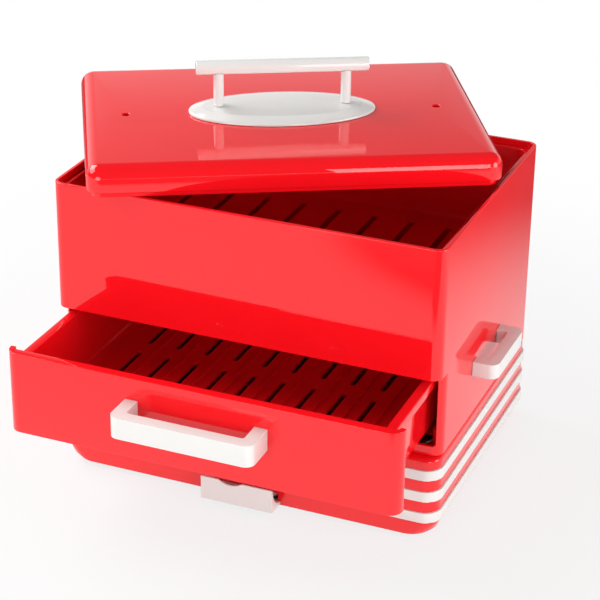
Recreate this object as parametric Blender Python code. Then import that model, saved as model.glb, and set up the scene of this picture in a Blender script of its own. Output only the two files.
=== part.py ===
# Hot dog maker: a steaming base, a body with a pull-out drawer, a bun tray at the rim and a loose lid.
# Metres, +Z up, front towards -Y. The pieces are drawn in the body's frame: X from its middle,
# Y back from the upper front panel, Z up from the base's lower edge. Last, all of it is moved so that
# the origin lies under the middle of the whole object, on the surface that it stands on.

import math
from collections import namedtuple

import bmesh
import bpy
from mathutils import Matrix, Vector

# Fits and facets
touch_gap = 0.0003
overrun = 0.002
weld = 0.0000005
least_radius = 0.0012
joint_overlap = 0.0008
corner_steps = 5
roll_steps = 3
round_sides = 24
hole_sides = 12
sharp_angle = math.radians(32)

# Body
body_width = 0.340
body_depth = 0.250
body_height = 0.260
body_corner = 0.0095
body_wall = 0.003
rim_roll = 0.0008
front_recess = 0.0105
frame_corner = 0.011
bay_top = 0.147
pillar_width = 0.005
lintel_drop = 0.003
sill_rise = 0.009
ledge_drop = 0.0072
ledge_thickness = 0.0025
notch_length = 0.012
notch_width = 0.0038
notch_from_middle = 0.053

# Base
base_height = 0.073
base_side_step = 0.0006
base_rear_step = 0.0008
base_front_setback = 0.003
base_corner = 0.0142
base_wall = 0.0035
base_roll = 0.003
base_side_taper = 0.0071
base_front_taper = 0.0006
base_rear_taper = 0.0031
base_taper_height = 0.0135
base_bend_height = 0.0045
base_bend_share = 0.45
base_foot_corner = 0.020
deck_width = 0.0206
deck_thickness = 0.003
cover_thickness = 0.0025
cover_rise = 0.0005
post_radius = 0.0045
post_inset = 0.0042
post_front_y = 0.060
post_rear_margin = 0.055

# White bands round the base
band_height = 0.009
band_lowest = 0.0145
band_top_margin = 0.0098
band_groove = 0.001
band_proud = 0.0015
band_chamfer = 0.0005
band_count = 3

# Feet
foot_radius = 0.009
foot_height = 0.0032
foot_drop = 0.003
foot_taper_share = 0.9
foot_side_inset = 0.030
foot_front_inset = 0.032

# Water pan and heater
pan_wall = 0.0012
pan_floor_height = 0.025
pan_flange = 0.006
pan_corner = 0.018
pan_roll = 0.008
element_radius = 0.0035
element_inset = 0.045
element_bend = 0.028
element_lead_bend = 0.012
element_lead_run = 0.014
element_lead_spread = 0.012
terminal_width = 0.044
terminal_depth = 0.018
terminal_height = 0.021
terminal_rear_margin = 0.034
thermostat_radius = 0.0085
thermostat_height = 0.008
thermostat_neck_share = 0.6
lead_radius = 0.0012
lead_sag = 0.004
lead_stub = 0.0015

# Service panel at the back of the base
panel_width = 0.120
panel_thickness = 0.003
panel_low = 0.008
panel_top_margin = 0.008
panel_corner = 0.004
window_margin = 0.009
fitting_spacing = 0.031
switch_width = 0.018
switch_height = 0.027
switch_depth = 0.014
switch_lip = 0.0015
switch_lip_thickness = 0.002
rocker_width = 0.013
rocker_height = 0.0206
rocker_front = 0.0055
rocker_back = 0.0025
rocker_back_height = 0.012
rocker_dish = 0.0007
rocker_side_gap = 0.0005
rocker_end_gap = 0.001
rocker_tilt = math.radians(10)
pivot_behind_lip = 0.0054
lamp_radius = 0.0040
lamp_lip = 0.0012
lamp_dome = 0.0028
lamp_shoulder_share = 0.85
grommet_radius = 0.0058
grommet_bore = 0.0035
grommet_lip = 0.0024
grommet_lip_thickness = 0.002

# Drip tray under the water pan
tray_centre_x = 0.0021
tray_width = 0.055
tray_length = 0.140
tray_height = 0.007
tray_wall = 0.0016
tray_corner = 0.004
tray_side_gap = 0.0025
tray_floor_gap = 0.0004
guide_width = 0.002
guide_height = 0.004
slot_head_gap = 0.0006
pull_width = 0.0652
pull_front_y = 0.0155
pull_bottom = 0.0023
pull_plate = 0.0017
pull_curve = 0.0195
pull_edge = 0.0012
scoop_radius = 0.019
scoop_depth = 0.0035
scoop_offset_x = 0.0061

# Drawer, drawn closed and then pulled out
drawer_pulled_out = 0.088
front_thickness = 0.008
front_wrap_thickness = 0.0046
front_wrap_depth = 0.012
front_corner = 0.011
front_inner_corner = 0.003
front_bottom_gap = 0.0004
front_top_gap = 0.0012
front_edge = 0.0012
box_side_gap = 0.0115
box_rear_gap = 0.008
box_wall = 0.003
box_bottom_gap = 0.0005
box_bottom_roll = 0.013
box_rear_corner = 0.012
box_front_corner = 0.003
rim_below_bay = 0.0055
rim_overhang = 0.0056
rim_thickness = 0.0026
rim_lip_drop = 0.0075
rim_lip_thickness = 0.0018
lane_count = 10
lane_rows = 3
lane_slot_width = 0.005
lane_slot_gap = 0.016
lane_side_margin = 0.019
lane_end_margin = 0.022
lane_rib_width = 0.0024
lane_rib_height = 0.002
rail_reach = 0.0365
rail_thickness = 0.002
rail_upright = 0.010

# Drawer handle
pull_bar_width = 0.1226
pull_bar_reach = 0.0317
pull_bar_thickness = 0.011
pull_bar_height = 0.0185
pull_bar_rise = 0.0348
pull_bar_corner = 0.008
pull_bar_inner_corner = 0.003
pull_bar_edge = 0.0016

# Side handles
grip_width = 0.077
grip_reach = 0.0215
grip_thickness = 0.011
grip_height = 0.013
grip_low = 0.1115
grip_corner = 0.008
grip_inner_corner = 0.004
grip_edge = 0.0014

# Bun tray
bun_side_gap = 0.0006
bun_inset = 0.0067
bun_corner = 0.011
bun_flange = 0.0017
bun_wall = 0.0016
bun_wall_gap = 0.0004
bun_draft = 0.002
bun_floor_above_bay = 0.031
bun_floor_roll = 0.006
bun_floor_thickness = 0.002
bun_slot_columns = 9
bun_slot_rows = 3
bun_slot_width = 0.006
bun_slot_gap = 0.016
bun_side_margin = 0.024
bun_end_margin = 0.022

# Lid, set down askew on the rim
lid_setback = 0.008
lid_height = 0.0218
lid_corner = 0.0125
lid_roll = 0.011
lid_roll_steps = 5
lid_wall = 0.0028
lid_top_thickness = 0.003
lid_lip_inset = 0.0043
lid_lip_thickness = 0.0022
lid_lip_drop = 0.0048
lid_groove_roof = 0.012
lid_turn = math.radians(28.9)
lid_shift_x = 0.0351
lid_shift_y = 0.0402
vent_radius = 0.0035
vent_from_middle = 0.1336

# Lid handle
plate_half_length = 0.0803
plate_half_width = 0.040
plate_edge = 0.0012
plate_height = 0.0054
plate_slope = 0.011
plate_sides = 48
post_spacing = 0.109
lid_post_radius = 0.0044
bar_length = 0.1475
bar_radius = 0.006
bar_height = 0.0401
bar_chamfer = 0.0008

# Screws
shank_radius = 0.0020
hole_radius = 0.0023
head_radius = 0.0038
head_height = 0.0022
head_chamfer = 0.0006
screw_bite = 0.010
boss_radius = 0.005
boss_height = 0.018
boss_from_front = 0.014
boss_from_rear = 0.012
bar_bite = 0.0045

Plan = namedtuple("Plan", "left right front rear front_radius rear_radius")


# Outlines

def inset(plan, amount):
    """The plan with every side moved in by amount, or out where it is negative."""
    return Plan(
        plan.left + amount,
        plan.right - amount,
        plan.front + amount,
        plan.rear - amount,
        max(plan.front_radius - amount, least_radius),
        max(plan.rear_radius - amount, least_radius),
    )


def arc(centre_x, centre_y, radius, start, end, steps):
    """Points along an arc, both ends included; the angles are in degrees."""
    angles = [math.radians(start + (end - start) * k / steps) for k in range(steps + 1)]
    return [(centre_x + radius * math.cos(a), centre_y + radius * math.sin(a)) for a in angles]


def outline(plan):
    """The plan's rounded rectangle, counter-clockwise from its front right corner."""
    front, rear = plan.front_radius, plan.rear_radius
    return (
        arc(plan.right - front, plan.front + front, front, -90, 0, corner_steps)
        + arc(plan.right - rear, plan.rear - rear, rear, 0, 90, corner_steps)
        + arc(plan.left + rear, plan.rear - rear, rear, 90, 180, corner_steps)
        + arc(plan.left + front, plan.front + front, front, 180, 270, corner_steps)
    )


def circle(radius, sides):
    return arc(0, 0, radius, 0, 360 - 360 / sides, sides - 1)


def at_height(points, z):
    return [Vector((x, y, z)) for x, y in points]


def levels(*steps):
    """One loop of points for each plan and height."""
    return [at_height(outline(plan), z) for plan, z in steps]


def rolled_top(plan, top, radius, steps=roll_steps):
    """Plans and heights of a rounded upper edge, from the side up."""
    turns = [math.radians(90 * k / steps) for k in range(steps + 1)]
    return [(inset(plan, radius * (1 - math.cos(t))), top - radius * (1 - math.sin(t))) for t in turns]


def rolled_bottom(plan, bottom, radius):
    """Plans and heights of a rounded lower edge, from the bottom up to the side."""
    upwards = rolled_top(plan, bottom, radius)
    return [(inner, bottom + (bottom - z)) for inner, z in reversed(upwards)]


# Meshes

# Turns a section drawn in Y and Z, and extruded along X, into its place
seen_from_side = Matrix(((0, 0, 1, 0), (1, 0, 0, 0), (0, 1, 0, 0), (0, 0, 0, 1)))


def add_loft(bm, loops, closed=False):
    """Skins a row of loops; an open row is capped at both ends."""
    rings = []
    for loop in loops:
        verts = [bm.verts.new(point) for point in loop]
        edges = [bm.edges.new((verts[k - 1], verts[k])) for k in range(len(verts))]
        rings.append((verts, edges))
    pairs = list(zip(rings, rings[1:]))
    if closed:
        pairs.append((rings[-1], rings[0]))
    for first, second in pairs:
        for k in range(len(first[0])):
            quad = (first[0][k - 1], first[0][k], second[0][k], second[0][k - 1])
            bm.faces.new(quad)
    if not closed:
        bm.faces.new(rings[0][0])
        bm.faces.new(rings[-1][0])


def add_prism(bm, points, low, high, place=Matrix()):
    """Extrudes a closed outline from low to high, then moves it to its place."""
    verts = [bm.verts.new((x, y, low)) for x, y in points]
    face = bm.faces.new(verts)
    grown = bmesh.ops.extrude_face_region(bm, geom=[face])["geom"]
    moved = [item for item in grown if isinstance(item, bmesh.types.BMVert)]
    bmesh.ops.translate(bm, verts=moved, vec=(0, 0, high - low))
    bmesh.ops.transform(bm, matrix=place, verts=verts + moved)


def add_box(bm, low, high):
    footprint = [(low[0], low[1]), (high[0], low[1]), (high[0], high[1]), (low[0], high[1])]
    add_prism(bm, footprint, low[2], high[2])


def add_turned(bm, profile, place, sides=round_sides):
    """Turns a row of (radius, height) about the local Z axis of place, capped at both ends."""
    add_loft(bm, [[place @ p for p in at_height(circle(r, sides), h)] for r, h in profile])


def towards(point, direction):
    """A frame at point whose Z axis runs along direction."""
    return Matrix.Translation(point) @ Vector(direction).to_track_quat("Z", "Y").to_matrix().to_4x4()


def add_hole(bm, point, direction, length, radius=hole_radius):
    add_turned(bm, [(radius, 0), (radius, length)], towards(point, direction), hole_sides)


def add_slot(bm, centre_x, centre_y, width, length, low, high):
    """A slot along Y with round ends."""
    half, run = width / 2, (length - width) / 2
    points = arc(centre_x, centre_y - run, half, 180, 360, 3) + arc(centre_x, centre_y + run, half, 0, 180, 3)
    add_prism(bm, points, low, high)


# Objects

def clear_scene():
    for obj in list(bpy.data.objects):
        bpy.data.objects.remove(obj, do_unlink=True)


def surface(name, colour, roughness, metallic=0.0, coat=0.0):
    made = bpy.data.materials.new(name)
    made.use_nodes = True
    shader = made.node_tree.nodes["Principled BSDF"]
    shader.inputs["Base Color"].default_value = (*colour, 1)
    shader.inputs["Roughness"].default_value = roughness
    shader.inputs["Metallic"].default_value = metallic
    shader.inputs["Coat Weight"].default_value = coat
    made.diffuse_color = (*colour, 1)
    return made


def empty(name, parent, place=(0, 0, 0), turn=0.0):
    made = bpy.data.objects.new(name, None)
    bpy.context.scene.collection.objects.link(made)
    made.parent = parent
    made.location = place
    made.rotation_euler.z = turn
    return made


def piece(name, bm, finish, parent, place=(0, 0, 0)):
    """The finished bmesh as a named object in its parent's frame."""
    bmesh.ops.remove_doubles(bm, verts=bm.verts, dist=weld)
    bmesh.ops.dissolve_degenerate(bm, edges=bm.edges, dist=weld)
    bmesh.ops.recalc_face_normals(bm, faces=bm.faces)
    mesh = bpy.data.meshes.new(name)
    bm.to_mesh(mesh)
    bm.free()
    mesh.shade_smooth()
    mesh.set_sharp_from_angle(angle=sharp_angle)
    if finish:
        mesh.materials.append(finish)
    made = bpy.data.objects.new(name, mesh)
    bpy.context.scene.collection.objects.link(made)
    made.parent = parent
    made.location = place
    return made


def make_screw(name, seat, direction, length, finish, parent):
    """A pan-head screw: seat is the middle of the face under its head."""
    profile = [
        (head_radius - head_chamfer, -head_height),
        (head_radius, head_chamfer - head_height),
        (head_radius, 0),
        (shank_radius, 0),
        (shank_radius, length - shank_radius),
        (shank_radius / 2, length),
    ]
    bm = bmesh.new()
    add_turned(bm, profile, towards(seat, direction), hole_sides)
    piece(name, bm, finish, parent)


def combine(obj, bm, operation):
    """Joins a helper solid to the object, or cuts it away, and returns the helper."""
    helper = piece(f"{obj.name}_helper_{len(obj.modifiers)}", bm, None, obj.parent, obj.location)
    helper.hide_render = True
    helper.display_type = "WIRE"
    modifier = obj.modifiers.new(operation.title(), "BOOLEAN")
    modifier.operation = operation
    modifier.object = helper
    modifier.solver = "EXACT"
    return helper


def soften(obj, width, segments=2):
    """Rounds the sharp edges by a Bevel modifier."""
    modifier = obj.modifiers.new("Bevel", "BEVEL")
    modifier.width = width
    modifier.segments = segments
    modifier.limit_method = "ANGLE"
    modifier.angle_limit = sharp_angle
    modifier.harden_normals = False


# Plans and heights that several pieces share

half_width = body_width / 2
upper_plan = Plan(-half_width, half_width, 0, body_depth, body_corner, body_corner)
lower_plan = upper_plan._replace(front=front_recess, front_radius=frame_corner)
base_plan = Plan(
    -half_width - base_side_step,
    half_width + base_side_step,
    base_front_setback,
    body_depth + base_rear_step,
    base_corner,
    base_corner,
)
bun_plan = inset(upper_plan, bun_inset)._replace(front_radius=bun_corner, rear_radius=bun_corner)
seat_height = base_height + touch_gap
sill_height = base_height + sill_rise
opening_top = bay_top - lintel_drop
ledge_height = body_height - ledge_drop
band_pitch = (base_height - band_top_margin - band_height - band_lowest) / (band_count - 1)


def tapered(share):
    """The base's plan with this share of its taper taken off; the sides taper more than the front."""
    corner = base_corner + share * (base_foot_corner - base_corner)
    return Plan(
        base_plan.left + share * base_side_taper,
        base_plan.right - share * base_side_taper,
        base_plan.front + share * base_front_taper,
        base_plan.rear - share * base_rear_taper,
        corner,
        corner,
    )


base_foot = tapered(1)
cover_plan = inset(base_foot, base_wall + touch_gap)
cover_top = cover_rise + cover_thickness
deck_opening = inset(base_plan, deck_width)._replace(front_radius=pan_corner, rear_radius=pan_corner)
middle_y = body_depth / 2
inner_side = half_width - body_wall


def corners(half_span, front, rear):
    """The four corners of a rectangle about X = 0, by name."""
    return {
        "front_left": (-half_span, front),
        "front_right": (half_span, front),
        "rear_left": (-half_span, rear),
        "rear_right": (half_span, rear),
    }


boss_centres = corners(
    inner_side - boss_radius + joint_overlap,
    lower_plan.front + body_wall + boss_from_front,
    body_depth - body_wall - boss_from_rear,
)
cover_posts = corners(cover_plan.right - post_inset, post_front_y, body_depth - post_rear_margin)
foot_centres = corners(
    base_plan.right - foot_side_inset, base_plan.front + foot_front_inset, base_plan.rear - foot_front_inset
)
grip_span = (grip_width - grip_thickness) / 2
grip_screws = corners(inner_side, middle_y - grip_span, middle_y + grip_span)
grip_middle_z = grip_low + grip_height / 2


# Body

def make_body_housing(red, parent):
    inner_upper = inset(upper_plan, body_wall)
    inner_lower = inset(lower_plan, body_wall)
    ledge = inset(bun_plan, -bun_wall_gap)
    rim = rolled_top(upper_plan, body_height, rim_roll)
    loops = levels(
        (lower_plan, seat_height),
        (lower_plan, bay_top),
        (upper_plan, bay_top),
        *rim,
        (inner_upper, body_height),
        (inner_upper, ledge_height),
        (ledge, ledge_height),
        (ledge, ledge_height - ledge_thickness),
        (inner_upper, ledge_height - ledge_thickness),
        (inner_upper, bay_top + body_wall),
        (inner_lower, bay_top + body_wall),
        (inner_lower, seat_height),
    )
    bm = bmesh.new()
    add_loft(bm, loops, closed=True)
    housing = piece("body_housing", bm, red, parent)

    bosses = bmesh.new()
    for x, y in boss_centres.values():
        foot = towards((x, y, seat_height), (0, 0, 1))
        add_turned(bosses, [(boss_radius, 0), (boss_radius, boss_height)], foot, hole_sides)
    combine(housing, bosses, "UNION")

    cuts = bmesh.new()
    reach = front_recess + frame_corner
    half_opening = half_width - pillar_width
    add_box(cuts, (-half_opening, front_recess - overrun, sill_height), (half_opening, reach, opening_top))
    for x, y in boss_centres.values():
        add_hole(cuts, (x, y, seat_height - overrun), (0, 0, 1), screw_bite + overrun)
    for x, y in grip_screws.values():
        side = math.copysign(1, x)
        add_hole(cuts, (x - side * overrun, y, grip_middle_z), (side, 0, 0), body_wall + 2 * overrun)
    for side in (-1, 1):
        for along in (-1, 1):
            add_notch(cuts, side, along, ledge_height - ledge_thickness - overrun, ledge_height + overrun)
    combine(housing, cuts, "DIFFERENCE")
    return housing


def add_notch(bm, side, along, low, high):
    """A small slot where the bun tray's flange lies on the ledge."""
    outer = side * (inner_side - bun_side_gap)
    near = outer - side * notch_width
    y = middle_y + along * notch_from_middle
    half = notch_length / 2
    add_box(bm, (min(outer, near), y - half, low), (max(outer, near), y + half, high))


def make_rails(red, parent):
    """Two angle strips on the side walls, which the drawer's floor slides on."""
    rail_top = sill_height + box_bottom_gap - touch_gap
    wall_x = inner_side - touch_gap
    front = lower_plan.front + body_wall + boss_from_front + boss_radius + touch_gap
    rear = body_depth - body_wall - boss_from_rear - boss_radius - touch_gap
    for side, name in ((-1, "drawer_rail_left"), (1, "drawer_rail_right")):
        section = [
            (side * (wall_x - rail_reach), rail_top - rail_thickness),
            (side * wall_x, rail_top - rail_thickness),
            (side * wall_x, rail_top + rail_upright),
            (side * (wall_x - rail_thickness), rail_top + rail_upright),
            (side * (wall_x - rail_thickness), rail_top),
            (side * (wall_x - rail_reach), rail_top),
        ]
        bm = bmesh.new()
        stand_up = Matrix.Rotation(math.radians(90), 4, "X")
        add_prism(bm, section, -rear, -front, stand_up)
        piece(name, bm, red, parent)


# Base

def make_base_housing(red, parent):
    bend = tapered(base_bend_share)
    loops = [(base_foot, 0), (bend, base_bend_height), (base_plan, base_taper_height)]
    for k in range(band_count):
        low = band_lowest + k * band_pitch - touch_gap
        high = low + band_height + 2 * touch_gap
        groove = inset(base_plan, band_groove)
        loops += [(base_plan, low), (groove, low), (groove, high), (base_plan, high)]
    inner = inset(base_plan, base_wall)
    loops += rolled_top(base_plan, base_height, base_roll)
    loops += [
        (deck_opening, base_height),
        (deck_opening, base_height - deck_thickness),
        (inner, base_height - deck_thickness),
        (inner, base_taper_height),
        (inset(bend, base_wall), base_bend_height),
        (inset(base_foot, base_wall), 0),
    ]
    bm = bmesh.new()
    add_loft(bm, levels(*loops), closed=True)
    housing = piece("base_housing", bm, red, parent)

    posts = bmesh.new()
    post_foot = cover_top + touch_gap
    post_length = base_height - deck_thickness + joint_overlap - post_foot
    for x, y in cover_posts.values():
        foot = towards((x, y, post_foot), (0, 0, 1))
        add_turned(posts, [(post_radius, 0), (post_radius, post_length)], foot, hole_sides)
    combine(housing, posts, "UNION")

    cuts = bmesh.new()
    slot_half = tray_width / 2 + tray_side_gap
    slot_top = cover_top + tray_floor_gap + tray_height + slot_head_gap
    slot_rear = base_foot.front + base_wall + overrun
    add_box(
        cuts,
        (tray_centre_x - slot_half, base_plan.front - overrun, -overrun),
        (tray_centre_x + slot_half, slot_rear, slot_top),
    )
    window_half = panel_width / 2 - window_margin
    add_box(
        cuts,
        (-window_half, base_foot.rear - base_wall - overrun, panel_low + window_margin),
        (window_half, base_plan.rear + overrun, panel_top - window_margin),
    )
    deck_low = base_height - deck_thickness - overrun
    for x, y in boss_centres.values():
        add_hole(cuts, (x, y, deck_low), (0, 0, 1), deck_thickness + 2 * overrun)
    for x, y in cover_posts.values():
        add_hole(cuts, (x, y, post_foot - overrun), (0, 0, 1), screw_bite + overrun)
    for side in (-1, 1):
        start = (side * panel_screw_x, base_plan.rear + overrun, fitting_z)
        add_hole(cuts, start, (0, -1, 0), base_wall + 2 * overrun)
    combine(housing, cuts, "DIFFERENCE")


def make_bands(white, parent):
    """Three bands in the base's grooves, open at the back beside the service panel."""
    outer = inset(base_plan, -band_proud)
    inner = inset(base_plan, band_groove - touch_gap)
    for k, name in enumerate(("band_lower", "band_middle", "band_upper")):
        low = band_lowest + k * band_pitch
        high = low + band_height
        loops = levels(
            (inset(outer, band_chamfer), low),
            (outer, low + band_chamfer),
            (outer, high - band_chamfer),
            (inset(outer, band_chamfer), high),
            (inner, high),
            (inner, low),
        )
        bm = bmesh.new()
        add_loft(bm, loops, closed=True)
        band = piece(name, bm, white, parent)
        gap = bmesh.new()
        half = panel_width / 2 + touch_gap
        rear = base_plan.rear
        near, far = rear - band_groove - overrun, rear + band_proud + overrun
        add_box(gap, (-half, near, low - overrun), (half, far, high + overrun))
        combine(band, gap, "DIFFERENCE")


def make_base_cover(black, parent):
    bm = bmesh.new()
    add_loft(bm, levels((cover_plan, cover_rise), (cover_plan, cover_top)))
    cover = piece("base_cover", bm, black, parent)
    guides = bmesh.new()
    start = tray_front_y
    for side in (-1, 1):
        near = tray_centre_x + side * (tray_width / 2 + touch_gap)
        far = near + side * guide_width
        low = (min(near, far), start, cover_top - joint_overlap)
        high = (max(near, far), start + tray_length, cover_top + guide_height)
        add_box(guides, low, high)
    combine(cover, guides, "UNION")
    holes = bmesh.new()
    for x, y in cover_posts.values():
        add_hole(holes, (x, y, cover_rise - overrun), (0, 0, 1), cover_thickness + 2 * overrun)
    combine(cover, holes, "DIFFERENCE")


def make_feet(rubber, parent):
    for corner, (x, y) in foot_centres.items():
        bm = bmesh.new()
        profile = [
            (foot_radius * foot_taper_share, 0),
            (foot_radius, foot_height / 2),
            (foot_radius, foot_height),
        ]
        add_turned(bm, profile, Matrix.Translation((x, y, -foot_drop)))
        piece(f"foot_{corner}", bm, rubber, parent)


# Water pan and heater

def make_water_pan(steel, parent):
    outer = inset(deck_opening, touch_gap)
    flange = inset(outer, -pan_flange)
    inner = inset(outer, pan_wall)
    flange_low = base_height + touch_gap
    flange_high = flange_low + pan_wall
    loops = levels(
        *rolled_bottom(outer, pan_floor_height, pan_roll),
        (outer, flange_low),
        (flange, flange_low),
        (flange, flange_high),
        (inner, flange_high),
        *reversed(rolled_bottom(inner, pan_floor_height + pan_wall, pan_roll - pan_wall)),
    )
    bm = bmesh.new()
    add_loft(bm, loops)
    piece("water_pan", bm, steel, parent)


def tube(name, radius, route, finish, parent, resolution=2):
    """A round tube along a row of points."""
    curve = bpy.data.curves.new(name, "CURVE")
    curve.dimensions = "3D"
    curve.bevel_depth = radius
    curve.bevel_resolution = resolution
    curve.use_fill_caps = True
    spline = curve.splines.new("POLY")
    spline.points.add(len(route) - 1)
    for point, place in zip(spline.points, route):
        point.co = (*place, 1)
    curve.materials.append(finish)
    made = bpy.data.objects.new(name, curve)
    bpy.context.scene.collection.objects.link(made)
    made.parent = parent
    return made


def make_heater(steel, black, insulation, parent):
    z = pan_floor_height - touch_gap - element_radius
    loop = inset(deck_opening, element_inset)
    bend = element_bend
    end_y = terminal_front_y - touch_gap
    lead = element_lead_spread
    turn_y = loop.rear - bend
    plan_points = (
        [(lead, end_y)]
        + arc(lead + element_lead_bend, end_y - element_lead_run, element_lead_bend, 180, 270, corner_steps)
        + arc(loop.right - bend, turn_y - bend, bend, 90, 0, corner_steps)
        + arc(loop.right - bend, loop.front + bend, bend, 0, -90, corner_steps)
    )
    mirrored = [(-x, y) for x, y in reversed(plan_points)]
    route = [(x, y, z) for x, y in plan_points + mirrored]
    tube("heating_element", element_radius, route, steel, parent)

    block = bmesh.new()
    half = terminal_width / 2
    low = cover_top + touch_gap
    rear = terminal_front_y + terminal_depth
    add_box(block, (-half, terminal_front_y, low), (half, rear, low + terminal_height))
    soften(piece("terminal_block", block, black, parent), least_radius, 1)

    stat = bmesh.new()
    profile = [
        (thermostat_radius, 0),
        (thermostat_radius, -thermostat_height / 2),
        (thermostat_radius * thermostat_neck_share, -thermostat_height / 2),
        (thermostat_radius * thermostat_neck_share, -thermostat_height),
    ]
    place = Matrix.Translation((0, middle_y, pan_floor_height - touch_gap))
    add_turned(stat, profile, place)
    piece("thermostat", stat, steel, parent)

    start_y = rear + touch_gap
    start_z = low + terminal_height / 2
    end_y = switch_back_y - touch_gap
    for k, name in ((-1, "switch_lead_outer"), (1, "switch_lead_inner")):
        begin = Vector((k * element_lead_spread / 2 - element_lead_spread, start_y, start_z))
        finish = Vector((-fitting_spacing + k * switch_width / 4, end_y, fitting_z))
        tube(name, lead_radius, sagging(begin, finish), insulation, parent, 1)


def sagging(begin, end, steps=8):
    """Points from begin to end that leave and arrive straight along Y and hang a little between."""
    near, far = begin.y + lead_stub, end.y - lead_stub
    points = [tuple(begin)]
    for k in range(steps + 1):
        t = k / steps
        ease = t * t * (3 - 2 * t)
        x = begin.x + (end.x - begin.x) * ease
        z = begin.z + (end.z - begin.z) * ease - lead_sag * math.sin(math.pi * t) ** 2
        points.append((x, near + (far - near) * t, z))
    return [*points, tuple(end)]


# Service panel

panel_top = base_height - panel_top_margin
fitting_z = (panel_low + panel_top) / 2
panel_face_y = base_plan.rear + touch_gap + panel_thickness
switch_back_y = panel_face_y + touch_gap - switch_depth
terminal_front_y = base_plan.rear - terminal_rear_margin - terminal_depth
panel_screw_x = panel_width / 2 - window_margin / 2


def make_service_panel(red, parent):
    half = panel_width / 2
    plan = Plan(-half, half, panel_low, panel_top, panel_corner, panel_corner)
    facing_back = Matrix.Translation((0, panel_face_y, 0)) @ Matrix.Rotation(math.radians(90), 4, "X")
    bm = bmesh.new()
    add_prism(bm, outline(plan), 0, panel_thickness, facing_back)
    panel = piece("service_panel", bm, red, parent)

    cuts = bmesh.new()
    near = panel_face_y - panel_thickness - overrun
    far = panel_face_y + overrun
    wide, tall = switch_width / 2 + touch_gap, switch_height / 2 + touch_gap
    left, right = -fitting_spacing - wide, -fitting_spacing + wide
    add_box(cuts, (left, near, fitting_z - tall), (right, far, fitting_z + tall))
    add_hole(cuts, (0, near, fitting_z), (0, 1, 0), far - near, lamp_radius + touch_gap)
    add_hole(cuts, (fitting_spacing, near, fitting_z), (0, 1, 0), far - near, grommet_radius + touch_gap)
    for side in (-1, 1):
        add_hole(cuts, (side * panel_screw_x, near, fitting_z), (0, 1, 0), far - near)
    combine(panel, cuts, "DIFFERENCE")


def make_switch(black, rocker_finish, parent):
    lip_low = panel_face_y + touch_gap
    lip_high = lip_low + switch_lip_thickness
    wide, tall = switch_width / 2, switch_height / 2
    bm = bmesh.new()
    centre = Vector((-fitting_spacing, 0, fitting_z))
    barrel_far = lip_low + joint_overlap
    add_box(bm, centre + Vector((-wide, switch_back_y, -tall)), centre + Vector((wide, barrel_far, tall)))
    bezel = piece("switch_bezel", bm, black, parent)
    lip = bmesh.new()
    wide, tall = wide + switch_lip, tall + switch_lip
    add_box(lip, centre + Vector((-wide, lip_low, -tall)), centre + Vector((wide, lip_high, tall)))
    combine(bezel, lip, "UNION")
    well = bmesh.new()
    wide, tall = rocker_width / 2 + rocker_side_gap, rocker_height / 2 + rocker_end_gap
    pivot_y = lip_high - pivot_behind_lip
    floor_y = pivot_y - rocker_back - rocker_end_gap - touch_gap
    well_far = lip_high + overrun
    add_box(well, centre + Vector((-wide, floor_y, -tall)), centre + Vector((wide, well_far, tall)))
    combine(bezel, well, "DIFFERENCE")

    rocker = bmesh.new()
    tall, back = rocker_height / 2, rocker_back_height / 2
    section = [
        (-rocker_back, -back),
        (rocker_back, -tall),
        (rocker_front, -tall),
        (rocker_front - rocker_dish, 0),
        (rocker_front, tall),
        (rocker_back, tall),
        (-rocker_back, back),
    ]
    add_prism(rocker, section, -rocker_width / 2, rocker_width / 2, seen_from_side)
    made = piece("switch_rocker", rocker, rocker_finish, parent, (-fitting_spacing, pivot_y, fitting_z))
    made.rotation_euler.x = -rocker_tilt


def make_lamp_and_grommet(amber, rubber, parent):
    seat = panel_face_y + touch_gap
    lamp = bmesh.new()
    profile = [
        (lamp_radius, -panel_thickness - lamp_lip),
        (lamp_radius, 0),
        (lamp_radius + lamp_lip, 0),
        (lamp_radius + lamp_lip, lamp_lip),
        (lamp_radius, lamp_lip),
        (lamp_radius * lamp_shoulder_share, lamp_lip + lamp_dome / 2),
        (lamp_radius / 2, lamp_lip + lamp_dome),
    ]
    add_turned(lamp, profile, towards((0, seat, fitting_z), (0, 1, 0)), hole_sides)
    piece("pilot_lamp", lamp, amber, parent)

    bush = bmesh.new()
    inside = -panel_thickness - 2 * touch_gap
    place = towards((fitting_spacing, seat, fitting_z), (0, 1, 0))
    profile = [
        (grommet_bore, inside - grommet_lip_thickness),
        (grommet_radius + grommet_lip, inside - grommet_lip_thickness),
        (grommet_radius + grommet_lip, inside),
        (grommet_radius, inside),
        (grommet_radius, 0),
        (grommet_radius + grommet_lip, 0),
        (grommet_radius + grommet_lip, grommet_lip_thickness / 2),
        (grommet_radius, grommet_lip_thickness),
        (grommet_bore, grommet_lip_thickness),
    ]
    loops = [[place @ p for p in at_height(circle(r, hole_sides), h)] for r, h in profile]
    add_loft(bush, loops, closed=True)
    piece("cord_grommet", bush, rubber, parent)


# Drip tray

tray_front_y = base_foot.front + base_wall + overrun
tray_low = cover_top + tray_floor_gap


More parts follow.
